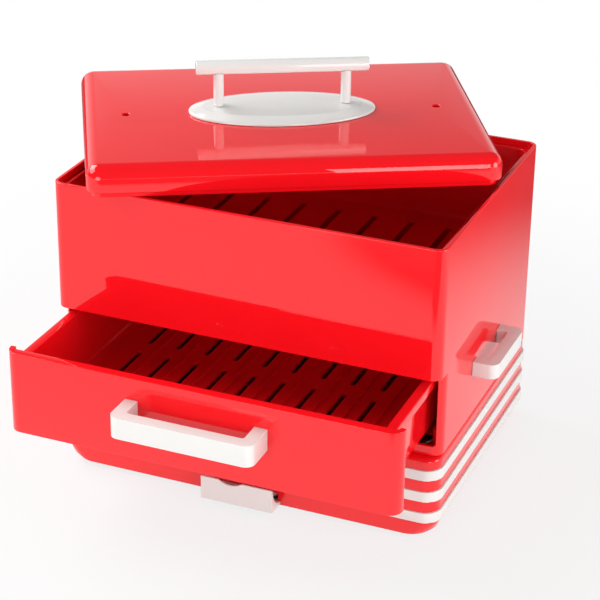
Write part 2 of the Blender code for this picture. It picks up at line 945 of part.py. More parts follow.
def make_drip_tray(white, parent):
    left = tray_centre_x - tray_width / 2
    outer = Plan(left, left + tray_width, tray_front_y, tray_front_y + tray_length, tray_corner, tray_corner)
    inner = inset(outer, tray_wall)
    loops = levels(
        (outer, tray_low),
        (outer, tray_low + tray_height),
        (inner, tray_low + tray_height),
        (inner, tray_low + tray_wall),
    )
    bm = bmesh.new()
    add_loft(bm, loops)
    tray = piece("drip_tray", bm, white, parent)

    plate_top = pull_bottom + pull_plate
    curve_y = -pull_front_y + pull_plate + pull_curve
    pull_top = plate_top + pull_curve
    root_y = cover_plan.front - touch_gap
    tongue_y = tray_front_y + tray_wall - touch_gap
    section = (
        [(-pull_front_y + pull_edge, pull_bottom), (root_y, pull_bottom), (root_y, tray_low)]
        + [(tongue_y, tray_low), (tongue_y, plate_top)]
        + arc(curve_y, pull_top, pull_curve, 270, 180, 2 * corner_steps)
        + [(-pull_front_y, pull_top), (-pull_front_y, pull_bottom + pull_edge)]
    )
    pull = bmesh.new()
    add_prism(pull, section, tray_centre_x - pull_width / 2, tray_centre_x + pull_width / 2, seen_from_side)
    helper = combine(tray, pull, "UNION")
    sides = bmesh.new()
    for side in (-1, 1):
        near = tray_centre_x + side * (tray_width / 2 - tray_corner)
        far = tray_centre_x + side * (pull_width / 2 + overrun)
        low = (min(near, far), base_plan.front - touch_gap, pull_bottom - overrun)
        high = (max(near, far), tongue_y + overrun, plate_top + overrun)
        add_box(sides, low, high)
    combine(helper, sides, "DIFFERENCE")

    scoop = bmesh.new()
    centre = (tray_centre_x - scoop_offset_x, -pull_front_y - overrun, pull_top - scoop_depth + scoop_radius)
    profile = [(scoop_radius, 0), (scoop_radius, pull_plate + pull_curve)]
    add_turned(scoop, profile, towards(centre, (0, 1, 0)), 2 * round_sides)
    combine(tray, scoop, "DIFFERENCE")


# Drawer

front_low = base_height + front_bottom_gap
front_high = bay_top - front_top_gap
box_low = sill_height + box_bottom_gap
box_rim = bay_top - rim_below_bay
box_plan = Plan(
    -inner_side + box_side_gap,
    inner_side - box_side_gap,
    front_thickness - joint_overlap,
    body_depth - body_wall - box_rear_gap,
    box_front_corner,
    box_rear_corner,
)
pull_bar_low = front_low + pull_bar_rise
pull_bar_middle_z = pull_bar_low + pull_bar_height / 2
pull_bar_leg_x = (pull_bar_width - pull_bar_thickness) / 2


def make_drawer(red, parent):
    bm = bmesh.new()
    right = (
        arc(half_width - front_corner, front_corner, front_corner, -90, 0, corner_steps)
        + [(half_width, front_wrap_depth), (half_width - front_wrap_thickness, front_wrap_depth)]
        + arc(
            half_width - front_wrap_thickness - front_inner_corner,
            front_thickness + front_inner_corner,
            front_inner_corner,
            0,
            -90,
            2,
        )
    )
    left = [(-x, y) for x, y in reversed(right)]
    add_prism(bm, right + left, front_low, front_high)
    drawer = piece("drawer", bm, red, parent)
    soften(drawer, front_edge)

    inner = inset(box_plan, box_wall)
    lip_outer = inset(box_plan, -rim_overhang)
    lip_inner = inset(lip_outer, rim_lip_thickness)
    floor_top = box_low + box_wall
    loops = levels(
        *rolled_bottom(box_plan, box_low, box_bottom_roll),
        (box_plan, box_rim - rim_thickness),
        (lip_inner, box_rim - rim_thickness),
        (lip_inner, box_rim - rim_lip_drop),
        (lip_outer, box_rim - rim_lip_drop),
        *rolled_top(lip_outer, box_rim, least_radius),
        (inner, box_rim),
        *reversed(rolled_bottom(inner, floor_top, box_bottom_roll - box_wall)),
    )
    box = bmesh.new()
    add_loft(box, loops)
    combine(drawer, box, "UNION")

    span = 2 * (box_plan.right - lane_side_margin)
    pitch = span / lane_count
    first = -span / 2 + pitch / 2
    front = box_plan.front + lane_end_margin
    rear = box_plan.rear - lane_end_margin
    ribs = bmesh.new()
    for k in range(lane_count - 1):
        x = first + (k + 0.5) * pitch
        low = (x - lane_rib_width / 2, front, floor_top - joint_overlap)
        add_box(ribs, low, (x + lane_rib_width / 2, rear, floor_top + lane_rib_height))
    combine(drawer, ribs, "UNION")

    length = (rear - front - (lane_rows - 1) * lane_slot_gap) / lane_rows
    cuts = bmesh.new()
    below, above = box_low - overrun, floor_top + overrun
    for k in range(lane_count):
        for row in range(lane_rows):
            y = front + length / 2 + row * (length + lane_slot_gap)
            add_slot(cuts, first + k * pitch, y, lane_slot_width, length, below, above)
    for side in (-1, 1):
        through = box_plan.front + box_wall + 2 * overrun
        add_hole(cuts, (side * pull_bar_leg_x, -overrun, pull_bar_middle_z), (0, 1, 0), through)
    combine(drawer, cuts, "DIFFERENCE")


def handle_outline(width, reach, thickness, corner, inner_corner):
    """A U in plan: its legs end on X = 0 and it reaches out to X = reach."""
    half = width / 2
    inner = half - thickness
    upper = (
        [(0, inner)]
        + arc(reach - thickness - inner_corner, inner - inner_corner, inner_corner, 90, 0, 3)
    )
    lower = [(x, -y) for x, y in reversed(upper)]
    outer = (
        [(0, -half)]
        + arc(reach - corner, corner - half, corner, -90, 0, corner_steps)
        + arc(reach - corner, half - corner, corner, 0, 90, corner_steps)
        + [(0, half)]
    )
    return outer + upper + lower


def make_drawer_handle(white, steel, parent):
    points = handle_outline(
        pull_bar_width, pull_bar_reach - touch_gap, pull_bar_thickness, pull_bar_corner, pull_bar_inner_corner
    )
    place = Matrix.Translation((0, -touch_gap, 0)) @ Matrix.Rotation(math.radians(-90), 4, "Z")
    bm = bmesh.new()
    add_prism(bm, points, pull_bar_low, pull_bar_low + pull_bar_height, place)
    handle = piece("drawer_handle", bm, white, parent)
    soften(handle, pull_bar_edge)
    holes = bmesh.new()
    seat = box_plan.front + box_wall + touch_gap
    length = seat + screw_bite - touch_gap
    for side, name in ((-1, "drawer_handle_screw_left"), (1, "drawer_handle_screw_right")):
        x = side * pull_bar_leg_x
        add_hole(holes, (x, overrun, pull_bar_middle_z), (0, -1, 0), screw_bite + overrun)
        make_screw(name, (x, seat, pull_bar_middle_z), (0, -1, 0), length, steel, parent)
    combine(handle, holes, "DIFFERENCE")


def make_side_handles(white, steel, parent):
    reach = grip_reach - touch_gap
    points = handle_outline(grip_width, reach, grip_thickness, grip_corner, grip_inner_corner)
    for side, name in ((-1, "side_handle_left"), (1, "side_handle_right")):
        turn = Matrix.Rotation(math.radians(90 - 90 * side), 4, "Z")
        place = Matrix.Translation((side * (half_width + touch_gap), middle_y, 0)) @ turn
        bm = bmesh.new()
        add_prism(bm, points, grip_low, grip_low + grip_height, place)
        handle = piece(name, bm, white, parent)
        soften(handle, grip_edge)
        holes = bmesh.new()
        for along in (-1, 1):
            start = (side * (half_width - overrun), middle_y + along * grip_span, grip_middle_z)
            add_hole(holes, start, (side, 0, 0), screw_bite + overrun)
        combine(handle, holes, "DIFFERENCE")
    length = body_wall + 2 * touch_gap + screw_bite - overrun
    for corner, (x, y) in grip_screws.items():
        side = math.copysign(1, x)
        seat = (x - side * touch_gap, y, grip_middle_z)
        make_screw(f"side_handle_screw_{corner}", seat, (side, 0, 0), length, steel, parent)


# Bun tray

def make_bun_tray(red, parent):
    flange = inset(upper_plan, body_wall + bun_side_gap)
    outer = bun_plan
    foot = inset(outer, bun_draft)
    inner = inset(outer, bun_wall)
    inner_foot = inset(foot, bun_wall)
    low = bay_top + bun_floor_above_bay
    flange_low = ledge_height + touch_gap
    flange_high = flange_low + bun_flange
    floor_top = low + bun_floor_thickness
    loops = levels(
        *rolled_bottom(foot, low, bun_floor_roll),
        (outer, flange_low),
        (flange, flange_low),
        (flange, flange_high),
        (inner, flange_high),
        *reversed(rolled_bottom(inner_foot, floor_top, bun_floor_roll - bun_wall)),
    )
    bm = bmesh.new()
    add_loft(bm, loops)
    tray = piece("bun_tray", bm, red, parent)

    cuts = bmesh.new()
    left, right = foot.left + bun_side_margin, foot.right - bun_side_margin
    front, rear = foot.front + bun_end_margin, foot.rear - bun_end_margin
    pitch = (right - left) / (bun_slot_columns - 1)
    length = (rear - front - (bun_slot_rows - 1) * bun_slot_gap) / bun_slot_rows
    below, above = low - overrun, floor_top + overrun
    for column in range(bun_slot_columns):
        for row in range(bun_slot_rows):
            y = front + length / 2 + row * (length + bun_slot_gap)
            add_slot(cuts, left + column * pitch, y, bun_slot_width, length, below, above)
    for side in (-1, 1):
        for along in (-1, 1):
            add_notch(cuts, side, along, flange_low - joint_overlap, flange_high + overrun)
    combine(tray, cuts, "DIFFERENCE")


# Lid: its own frame has the origin at the middle of its lower edge

lid_half_depth = (body_depth - lid_setback) / 2
lid_plan = Plan(-half_width, half_width, -lid_half_depth, lid_half_depth, lid_corner, lid_corner)
plate_low = lid_height + touch_gap
plate_high = plate_low + plate_height
bar_axis_z = lid_height + bar_height
post_x = post_spacing / 2
ceiling = lid_height - lid_top_thickness


def make_lid_shell(red, parent):
    wall = inset(lid_plan, lid_wall)
    lip_outer = inset(lid_plan, lid_lip_inset)
    lip_inner = inset(lip_outer, lid_lip_thickness)
    groove_roof = lid_height - lid_groove_roof
    loops = levels(
        *reversed(rolled_top(lid_plan, lid_height, lid_roll, lid_roll_steps)),
        (lid_plan, rim_roll),
        (inset(lid_plan, rim_roll), 0),
        (wall, 0),
        (wall, groove_roof),
        (lip_outer, groove_roof),
        (lip_outer, -lid_lip_drop),
        (lip_inner, -lid_lip_drop),
        (lip_inner, ceiling),
    )
    bm = bmesh.new()
    add_loft(bm, loops)
    shell = piece("lid_shell", bm, red, parent)
    holes = bmesh.new()
    through = lid_top_thickness + 2 * overrun
    for side in (-1, 1):
        add_hole(holes, (side * vent_from_middle, 0, ceiling - overrun), (0, 0, 1), through, vent_radius)
        add_hole(holes, (side * post_x, 0, ceiling - overrun), (0, 0, 1), through)
    combine(shell, holes, "DIFFERENCE")


def ellipse(half_x, half_y, z):
    return at_height([(half_x * x, half_y * y) for x, y in circle(1, plate_sides)], z)


def make_lid_handle(white, steel, parent):
    slope, edge = plate_slope, plate_edge
    loops = [
        ellipse(plate_half_length, plate_half_width, plate_low),
        ellipse(plate_half_length, plate_half_width, plate_low + edge),
        ellipse(plate_half_length - edge, plate_half_width - edge, plate_low + 2 * edge),
        ellipse(plate_half_length - slope, plate_half_width - slope, plate_high),
    ]
    bm = bmesh.new()
    add_loft(bm, loops)
    plate = piece("lid_plate", bm, white, parent)
    holes = bmesh.new()
    for side in (-1, 1):
        add_hole(holes, (side * post_x, 0, plate_low - overrun), (0, 0, 1), plate_height + 2 * overrun)
    combine(plate, holes, "DIFFERENCE")

    post_low = plate_high + touch_gap
    for side, name in ((-1, "lid_post_left"), (1, "lid_post_right")):
        post = bmesh.new()
        add_turned(
            post,
            [(lid_post_radius, 0), (lid_post_radius, bar_axis_z - post_low)],
            towards((side * post_x, 0, post_low), (0, 0, 1)),
        )
        made = piece(name, post, white, parent)
        cuts = bmesh.new()
        saddle = bar_radius + touch_gap
        start = (side * post_x - 2 * lid_post_radius, 0, bar_axis_z)
        profile = [(saddle, 0), (saddle, 4 * lid_post_radius)]
        add_turned(cuts, profile, towards(start, (1, 0, 0)))
        combine(made, cuts, "DIFFERENCE")
        bore = bmesh.new()
        add_hole(bore, (side * post_x, 0, post_low - overrun), (0, 0, 1), bar_height)
        combine(made, bore, "DIFFERENCE")

    bar = bmesh.new()
    profile = [
        (bar_radius - bar_chamfer, 0),
        (bar_radius, bar_chamfer),
        (bar_radius, bar_length - bar_chamfer),
        (bar_radius - bar_chamfer, bar_length),
    ]
    add_turned(bar, profile, towards((-bar_length / 2, 0, bar_axis_z), (1, 0, 0)))
    made = piece("lid_bar", bar, white, parent)
    holes = bmesh.new()
    seat = ceiling - touch_gap
    hole_top = bar_axis_z - bar_radius + bar_bite + touch_gap
    for side, name in ((-1, "lid_screw_left"), (1, "lid_screw_right")):
        x = side * post_x
        start = bar_axis_z - bar_radius - overrun
        add_hole(holes, (x, 0, start), (0, 0, 1), hole_top - start)
        make_screw(name, (x, 0, seat), (0, 0, 1), hole_top - touch_gap - seat, steel, parent)
    combine(made, holes, "DIFFERENCE")


# Screws of the body and base

def make_base_screws(steel, parent):
    up = (0, 0, 1)
    bite = 2 * touch_gap + screw_bite - overrun
    for corner, (x, y) in boss_centres.items():
        seat = (x, y, base_height - deck_thickness - touch_gap)
        make_screw(f"housing_screw_{corner}", seat, up, deck_thickness + bite, steel, parent)
    for corner, (x, y) in cover_posts.items():
        seat = (x, y, cover_rise - touch_gap)
        make_screw(f"cover_screw_{corner}", seat, up, cover_thickness + bite, steel, parent)
    for side, name in ((-1, "panel_screw_left"), (1, "panel_screw_right")):
        seat = (side * panel_screw_x, panel_face_y + touch_gap, fitting_z)
        length = panel_thickness + base_wall + screw_bite / 2
        make_screw(name, seat, (0, -1, 0), length, steel, parent)


# The whole

def even_out_normals():
    """Keeps the large flat faces flat in the shading, beside their small rounded edges."""
    for obj in bpy.data.objects:
        if obj.type == "MESH" and not obj.hide_render:
            modifier = obj.modifiers.new("Weighted normals", "WEIGHTED_NORMAL")
            modifier.keep_sharp = True


def stand_on_origin(assembly):
    """Moves the assembly so that the origin is under its middle, at its lowest point."""
    bpy.context.view_layer.update()
    graph = bpy.context.evaluated_depsgraph_get()
    points = []
    for obj in bpy.data.objects:
        if obj.type == "EMPTY" or obj.hide_render:
            continue
        evaluated = obj.evaluated_get(graph)
        mesh = evaluated.to_mesh()
        points += [evaluated.matrix_world @ vertex.co for vertex in mesh.vertices]
        evaluated.to_mesh_clear()
    low = [min(point[axis] for point in points) for axis in range(3)]
    high = [max(point[axis] for point in points) for axis in range(3)]
    assembly.location = (-(low[0] + high[0]) / 2, -(low[1] + high[1]) / 2, -low[2])
    bpy.context.view_layer.update()


def main():
    clear_scene()
    red = surface("red_gloss_plastic", (0.80, 0.010, 0.018), 0.12, coat=0.3)
    dark_red = surface("red_inner_plastic", (0.62, 0.010, 0.016), 0.25)
    white = surface("white_gloss_plastic", (0.82, 0.82, 0.80), 0.18, coat=0.2)
    black = surface("black_plastic", (0.02, 0.02, 0.02), 0.45)
    rubber = surface("black_rubber", (0.03, 0.03, 0.03), 0.85)
    steel = surface("stainless_steel", (0.60, 0.60, 0.61), 0.28, metallic=1.0)
    amber = surface("amber_lens", (0.90, 0.35, 0.03), 0.15)
    insulation = surface("lead_insulation", (0.25, 0.25, 0.27), 0.5)

    assembly = empty("assembly", None)
    make_base_housing(red, assembly)
    make_bands(white, assembly)
    make_base_cover(black, assembly)
    make_feet(rubber, assembly)
    make_water_pan(steel, assembly)
    make_heater(steel, black, insulation, assembly)
    make_service_panel(red, assembly)
    make_switch(black, black, assembly)
    make_lamp_and_grommet(amber, rubber, assembly)
    make_body_housing(red, assembly)
    make_rails(dark_red, assembly)
    make_side_handles(white, steel, assembly)
    make_base_screws(steel, assembly)

    drip = empty("drip_tray_slide", assembly)
    make_drip_tray(white, drip)

    drawer = empty("drawer_slide", assembly, (0, -drawer_pulled_out, 0))
    make_drawer(red, drawer)
    make_drawer_handle(white, steel, drawer)

    bun = empty("bun_tray_lift", assembly)
    make_bun_tray(dark_red, bun)

    lid_z = body_height + touch_gap + lid_lip_drop
    lid = empty("lid_lift", assembly, (-lid_shift_x, middle_y + lid_shift_y, lid_z), lid_turn)
    make_lid_shell(red, lid)
    make_lid_handle(white, steel, lid)

    even_out_normals()
    stand_on_origin(assembly)


main()
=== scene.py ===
import math
import bmesh
import bpy
from mathutils import Matrix, Vector


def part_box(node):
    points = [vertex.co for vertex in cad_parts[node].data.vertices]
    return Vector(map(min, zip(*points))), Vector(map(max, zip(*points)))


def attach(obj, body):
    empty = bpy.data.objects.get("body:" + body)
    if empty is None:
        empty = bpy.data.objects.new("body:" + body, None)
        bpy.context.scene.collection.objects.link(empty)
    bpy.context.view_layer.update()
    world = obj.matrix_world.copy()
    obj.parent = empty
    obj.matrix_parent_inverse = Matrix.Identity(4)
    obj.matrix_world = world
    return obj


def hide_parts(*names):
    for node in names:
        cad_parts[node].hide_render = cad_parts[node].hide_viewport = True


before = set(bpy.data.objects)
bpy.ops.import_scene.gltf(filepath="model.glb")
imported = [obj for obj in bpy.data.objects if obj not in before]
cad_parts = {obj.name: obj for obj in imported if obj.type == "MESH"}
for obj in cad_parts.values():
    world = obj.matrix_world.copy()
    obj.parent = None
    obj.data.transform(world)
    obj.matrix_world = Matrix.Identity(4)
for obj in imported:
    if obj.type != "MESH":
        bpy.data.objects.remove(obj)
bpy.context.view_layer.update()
print("hot dog maker: frame loaded")

# Every piece is drawn in millimetres, in the frame of what carries it, and put in its place at the end
mm = 0.001
cornerSteps = 8
roundSteps = 48
sharpAngle = math.radians(34)
flatAngle = math.radians(4)
weld = 0.0005  # points nearer to each other than this are one point
smallestCorner = 0.6
squareCorner = 0.1
toolCorner = 1
gap = 0.3  # between two pieces that lie against each other
over = 2  # how far a cutting tool passes the face that it cuts
through = 9  # how far it reaches through a wall or out into the open
sink = 0.8  # how far a boss, a post or a barrel goes into what carries it


# Frames

def placeAt(x, y, z, turn=0.0):
    return Matrix.Translation((x, y, z)) @ Matrix.Rotation(turn, 4, "Z") @ Matrix.Scale(mm, 4)


lidSeat = dict(turn=math.radians(28.9), lipDrop=4.8)
bodyLow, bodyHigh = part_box("body_housing")
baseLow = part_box("base_housing")[0]
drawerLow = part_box("drawer")[0]
lidLow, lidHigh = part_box("lid_shell")
bodyMiddle = (bodyLow.x + bodyHigh.x) / 2
bodyPlace = placeAt(bodyMiddle, bodyLow.y, baseLow.z)
drawerPlace = placeAt(bodyMiddle, drawerLow.y, baseLow.z)
lidPlace = placeAt(
    (lidLow.x + lidHigh.x) / 2,
    (lidLow.y + lidHigh.y) / 2,
    lidLow.z + lidSeat["lipDrop"] * mm,
    lidSeat["turn"],
)
upright = Matrix.Rotation(math.radians(90), 4, "X")  # X stays, Y becomes Z, and Z becomes -Y


def facing(x, y, z, direction):
    return Matrix.Translation((x, y, z)) @ Vector(direction).to_track_quat("Z", "Y").to_matrix().to_4x4()


# Mesh tools

def shrink(plan, amount, corner=None):
    # A plan is left, right, front, rear, front corner radius, rear corner radius
    left, right, front, rear, frontRadius, rearRadius = plan
    if corner is None:
        frontRadius = max(frontRadius - amount, smallestCorner)
        rearRadius = max(rearRadius - amount, smallestCorner)
    else:
        frontRadius = rearRadius = corner
    return (left + amount, right - amount, front + amount, rear - amount, frontRadius, rearRadius)


def cornerCentres(plan):
    left, right, front, rear, frontRadius, rearRadius = plan
    return (
        (right - frontRadius, front + frontRadius, frontRadius),
        (right - rearRadius, rear - rearRadius, rearRadius),
        (left + rearRadius, rear - rearRadius, rearRadius),
        (left + frontRadius, front + frontRadius, frontRadius),
    )


def reshape(bm, verts, plan, goal, rise):
    # Moves an outline from one plan to another: each corner is scaled about its centre and shifted
    before, after = cornerCentres(plan), cornerCentres(goal)
    corners = [[], [], [], []]
    for vert in verts:
        apart = [(vert.co.x - centre[0]) ** 2 + (vert.co.y - centre[1]) ** 2 for centre in before]
        corners[apart.index(min(apart))].append(vert)
    for group, (x, y, radius), (goalX, goalY, goalRadius) in zip(corners, before, after):
        share = goalRadius / radius
        move = (
            Matrix.Translation((goalX, goalY, rise)) @ Matrix.Diagonal((share, share, 1, 1))
            @ Matrix.Translation((-x, -y, 0))
        )
        bmesh.ops.transform(bm, matrix=move, verts=group)


def roundOff(bm, geom, radius, steps, affect="EDGES", **settings):
    bmesh.ops.bevel(
        bm, geom=geom, offset=radius, segments=steps, affect=affect, profile=0.5, material=-1, **settings
    )


def extrude(bm, face, keep):
    # Returns the new end; the face that it grew from goes, unless it's kept as the other end
    grown = bmesh.ops.extrude_face_region(bm, geom=[face])["geom"]
    end = next(item for item in grown if isinstance(item, bmesh.types.BMFace))
    if face.is_valid and not keep:
        bmesh.ops.delete(bm, geom=[face], context="FACES_ONLY")
    return end


def addShell(bm, rings, closed=False, steps=cornerSteps):
    # A ring is a plan and a height, and where its edge is rounded, the radius and the steps
    plan, height = rings[0][:2]
    left, right, front, rear, frontRadius, rearRadius = plan
    spots = ((right, front), (right, rear), (left, rear), (left, front))
    known = set(bm.faces)
    verts = [bm.verts.new((x, y, height)) for x, y in spots]
    bm.faces.new(verts)
    for pair, radius in ((verts[0::3], frontRadius), (verts[1:3], rearRadius)):
        roundOff(bm, pair, radius, steps, "VERTICES")
    face = next(f for f in bm.faces if f not in known)
    firstVerts, loops = list(face.verts), [list(face.edges)]
    for count, ring in enumerate(rings[1:] + (rings[:1] if closed else [])):
        face = extrude(bm, face, keep=not (closed or count))
        reshape(bm, list(face.verts), plan, ring[0], ring[1] - height)
        plan, height = ring[:2]
        loops.append(list(face.edges))
    if closed:
        # The last ring has come round to the first, so the two are welded
        ends = firstVerts + list(face.verts)
        bmesh.ops.delete(bm, geom=[face], context="FACES_ONLY")
        bmesh.ops.remove_doubles(bm, verts=ends, dist=weld)
        loops.pop()
    made = {v for edges in loops for e in edges if e.is_valid for v in e.verts}
    bmesh.ops.remove_doubles(bm, verts=list(made), dist=weld)
    for ring, edges in zip(rings, loops):
        if len(ring) > 2:
            bent = [e for e in edges if e.is_valid and e.calc_face_angle(0) > flatAngle]
            roundOff(bm, bent, *ring[2:])


def turnOutwards(bm):
    bmesh.ops.recalc_face_normals(bm, faces=bm.faces)
    if bm.calc_volume(signed=True) < 0:
        bmesh.ops.reverse_faces(bm, faces=bm.faces)


def addBlock(bm, low, high):
    made = bmesh.ops.create_cube(bm, size=1)["verts"]
    size = [b - a for a, b in zip(low, high)]
    middle = [(a + b) / 2 for a, b in zip(low, high)]
    bmesh.ops.scale(bm, vec=size, verts=made)
    bmesh.ops.translate(bm, vec=middle, verts=made)


def rod(radius, high, low=0):
    # The profile of a plain round bar
    return [(0, low), (radius, low), (radius, high), (0, high)]


def addTurned(bm, profile, place=Matrix(), steps=roundSteps, closed=False):
    # The profile is a row of radius and height, spun about Z
    verts = [bm.verts.new((radius, 0, height)) for radius, height in profile]
    edges = [bm.edges.new(pair) for pair in zip(verts, verts[1:])]
    if closed:
        edges.append(bm.edges.new((verts[-1], verts[0])))
    made = bmesh.ops.spin(
        bm, geom=verts + edges, cent=(0, 0, 0), axis=(0, 0, 1), angle=math.tau, steps=steps, use_merge=True
    )["geom_last"]
    ring = set(verts) | {item for item in made if isinstance(item, bmesh.types.BMVert)}
    todo = list(ring)
    while todo:
        for edge in todo.pop().link_edges:
            for vert in edge.verts:
                if vert not in ring:
                    ring.add(vert)
                    todo.append(vert)
    ring = list(ring)
    bmesh.ops.remove_doubles(bm, verts=ring, dist=weld)
    bmesh.ops.transform(bm, matrix=place, verts=[v for v in ring if v.is_valid])


def soften(bm, radius, steps):
    # Rounds all the sharp edges
    edges = [e for e in bm.edges if len(e.link_faces) == 2 and e.calc_face_angle(0) > sharpAngle]
    roundOff(bm, edges, radius, steps, clamp_overlap=True)


def carve(bm, tool, operation="DIFFERENCE"):
    holders = []
    for source in (bm, tool):
        bmesh.ops.remove_doubles(source, verts=source.verts, dist=weld)
        turnOutwards(source)
        mesh = bpy.data.meshes.new("carving")
        source.to_mesh(mesh)
        source.free()
        holder = bpy.data.objects.new("carving", mesh)
        bpy.context.scene.collection.objects.link(holder)
        holders.append(holder)
    modifier = holders[0].modifiers.new("carving", "BOOLEAN")
    modifier.operation = operation
    modifier.object = holders[1]
    modifier.solver = "EXACT"
    bpy.context.view_layer.update()
    made = bmesh.new()
    made.from_object(holders[0], bpy.context.evaluated_depsgraph_get())
    for holder in holders:
        mesh = holder.data
        bpy.data.objects.remove(holder)
        bpy.data.meshes.remove(mesh)
    return made


def addPiece(name, bm, place, slot, body, node, edge):
    # Sharp edges are rounded by edge, or where it is 0, left sharp
    bmesh.ops.remove_doubles(bm, verts=bm.verts, dist=weld)
    bmesh.ops.transform(bm, matrix=place, verts=bm.verts)
    turnOutwards(bm)
    mesh = bpy.data.meshes.new(name)
    bm.to_mesh(mesh)
    bm.free()
    mesh.shade_smooth()
    mesh.materials.append(finishes[slot])
    piece = bpy.data.objects.new(name, mesh)
    bpy.context.scene.collection.objects.link(piece)
    if edge:
        bevel = piece.modifiers.new("edge", "BEVEL")
        bevel.width = edge * mm
        bevel.segments = 2
        bevel.limit_method = "ANGLE"
        bevel.angle_limit = sharpAngle
        bevel.use_clamp_overlap = False
        bevel.harden_normals = True
    else:
        mesh.set_sharp_from_angle(angle=sharpAngle)
    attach(piece, body)
    if node:
        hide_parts(node)


def pieceName(node):
    first, *others = node.split("_")
    return first + "".join(word.title() for word in others)


# Materials

def linear(code):
    values = [int(code[k:k + 2], 16) / 255 for k in (1, 3, 5)]
    return (*[v / 12.92 if v <= 0.04045 else ((v + 0.055) / 1.055) ** 2.4 for v in values], 1)


def addNode(tree, kind, inputs, **settings):
    # An input is given another node's socket or a plain value
    node = tree.nodes.new(kind)
    for name, value in settings.items():
        setattr(node, name, value)
    for socket, value in inputs.items():
        if isinstance(value, bpy.types.NodeSocket):
            tree.links.new(value, node.inputs[socket])
        else:
            node.inputs[socket].default_value = value
    return node


def newMaterial(name, **sockets):
    made = bpy.data.materials.new(name)
    made.use_nodes = True
    shader = made.node_tree.nodes["Principled BSDF"]
    for socket, value in sockets.items():
        shader.inputs[socket.replace("_", " ")].default_value = value
    return made, made.node_tree, shader


def perMillimetre(size):
    # Object coordinates are metres, so this is the scale of a pattern that repeats each size mm
    return 1 / (size * mm)


def objectSpot(tree):
    return addNode(tree, "ShaderNodeTexCoord", {}).outputs["Object"]


def mixColours(tree, share, colour, deeper):
    tint = addNode(
        tree, "ShaderNodeMix", {0: share, 6: linear(colour), 7: linear(deeper)}, data_type="RGBA"
    )
    return tint.outputs[2]


def addBump(tree, shader, height, strength, depth):
    bump = addNode(tree, "ShaderNodeBump", {"Height": height, "Strength": strength, "Distance": depth * mm})
    tree.links.new(bump.outputs["Normal"], shader.inputs["Normal"])


def glossyPlastic(name, colour, deeper, roughness, ripple):
    # ABS moulded in a polished tool: a hard even gloss that waves a little where the melt shrank,
    # with the faint haze of handling
    made, tree, shader = newMaterial(
        name, IOR=1.53, Roughness=roughness, Coat_Weight=0.2, Coat_Roughness=0.01, Coat_IOR=1.5
    )
    spot = objectSpot(tree)
    clouds = addNode(
        tree, "ShaderNodeTexNoise", {"Vector": spot, "Scale": perMillimetre(60), "Detail": 3.0}
    )
    tint = mixColours(tree, clouds.outputs["Fac"], colour, deeper)
    tree.links.new(tint, shader.inputs["Base Color"])
    haze = addNode(tree, "ShaderNodeTexNoise", {"Vector": spot, "Scale": perMillimetre(9), "Detail": 6.0})
    spread = addNode(tree, "ShaderNodeMapRange", {
        "Value": haze.outputs["Fac"], "From Min": 0.3, "From Max": 0.75,
        "To Min": roughness * 0.8, "To Max": roughness * 1.35,
    })
    tree.links.new(spread.outputs["Result"], shader.inputs["Roughness"])
    waves = addNode(tree, "ShaderNodeTexNoise", {"Vector": spot, "Scale": perMillimetre(38), "Detail": 1.0})
    addBump(tree, shader, waves.outputs["Fac"], 1.0, ripple)
    return made


def grainedSurface(name, colour, deeper, roughness, grain, depth, **sockets):
    # Moulded against a spark-eroded tool, or a rubber mix: a fine even grain, drawn no finer than shows
    made, tree, shader = newMaterial(name, Roughness=roughness, **sockets)
    grains = addNode(
        tree, "ShaderNodeTexVoronoi", {"Vector": objectSpot(tree), "Scale": perMillimetre(grain)}
    )
    tint = mixColours(tree, grains.outputs["Distance"], colour, deeper)
    tree.links.new(tint, shader.inputs["Base Color"])
    addBump(tree, shader, grains.outputs["Distance"], 0.6, depth)
    return made


def drawnSteel(name, colour, roughness, streak):
    # Sheet or wire drawn through rollers: fine long streaks along X that smear the gloss
    made, tree, shader = newMaterial(name, Base_Color=linear(colour), Metallic=1.0, Anisotropic=0.5)
    scale = (perMillimetre(40), perMillimetre(streak), perMillimetre(streak))
    along = addNode(tree, "ShaderNodeMapping", {"Vector": objectSpot(tree), "Scale": scale})
    streaks = addNode(
        tree, "ShaderNodeTexNoise", {"Vector": along.outputs["Vector"], "Scale": 1.0, "Detail": 4.0}
    )
    spread = addNode(tree, "ShaderNodeMapRange", {
        "Value": streaks.outputs["Fac"], "To Min": roughness * 0.7, "To Max": roughness * 1.4,
    })
    tree.links.new(spread.outputs["Result"], shader.inputs["Roughness"])
    addBump(tree, shader, streaks.outputs["Fac"], 0.25, 0.02)
    return made


redAbs = glossyPlastic("redAbsPolishedMoulding", "#F5141E", "#EF111A", 0.012, 0.03)
innerRedAbs = glossyPlastic("redAbsInnerMoulding", "#EC141D", "#E41019", 0.18, 0.04)
whiteAbs = glossyPlastic("whiteAbsPolishedMoulding", "#E7E6E3", "#E2E1DE", 0.13, 0.03)
blackAbs = grainedSurface("blackAbsGrainedMoulding", "#161617", "#1D1D1E", 0.5, 0.6, 0.03, IOR=1.53)
blackRubber = grainedSurface("blackMouldedRubber", "#1B1B1B", "#242423", 0.8, 0.9, 0.04, IOR=1.5)
stainless = drawnSteel("stainlessRolledSheet", "#C9C9CC", 0.28, 0.5)
zincSteel = drawnSteel("zincPlatedSteel", "#C4C6C9", 0.32, 0.3)
# Clear tinted polycarbonate from a polished tool: light from behind spreads in it
amberLens = newMaterial(
    "amberPolycarbonateLens", Base_Color=linear("#F08A1C"), Roughness=0.08, IOR=1.58, Transmission_Weight=0.55
)[0]
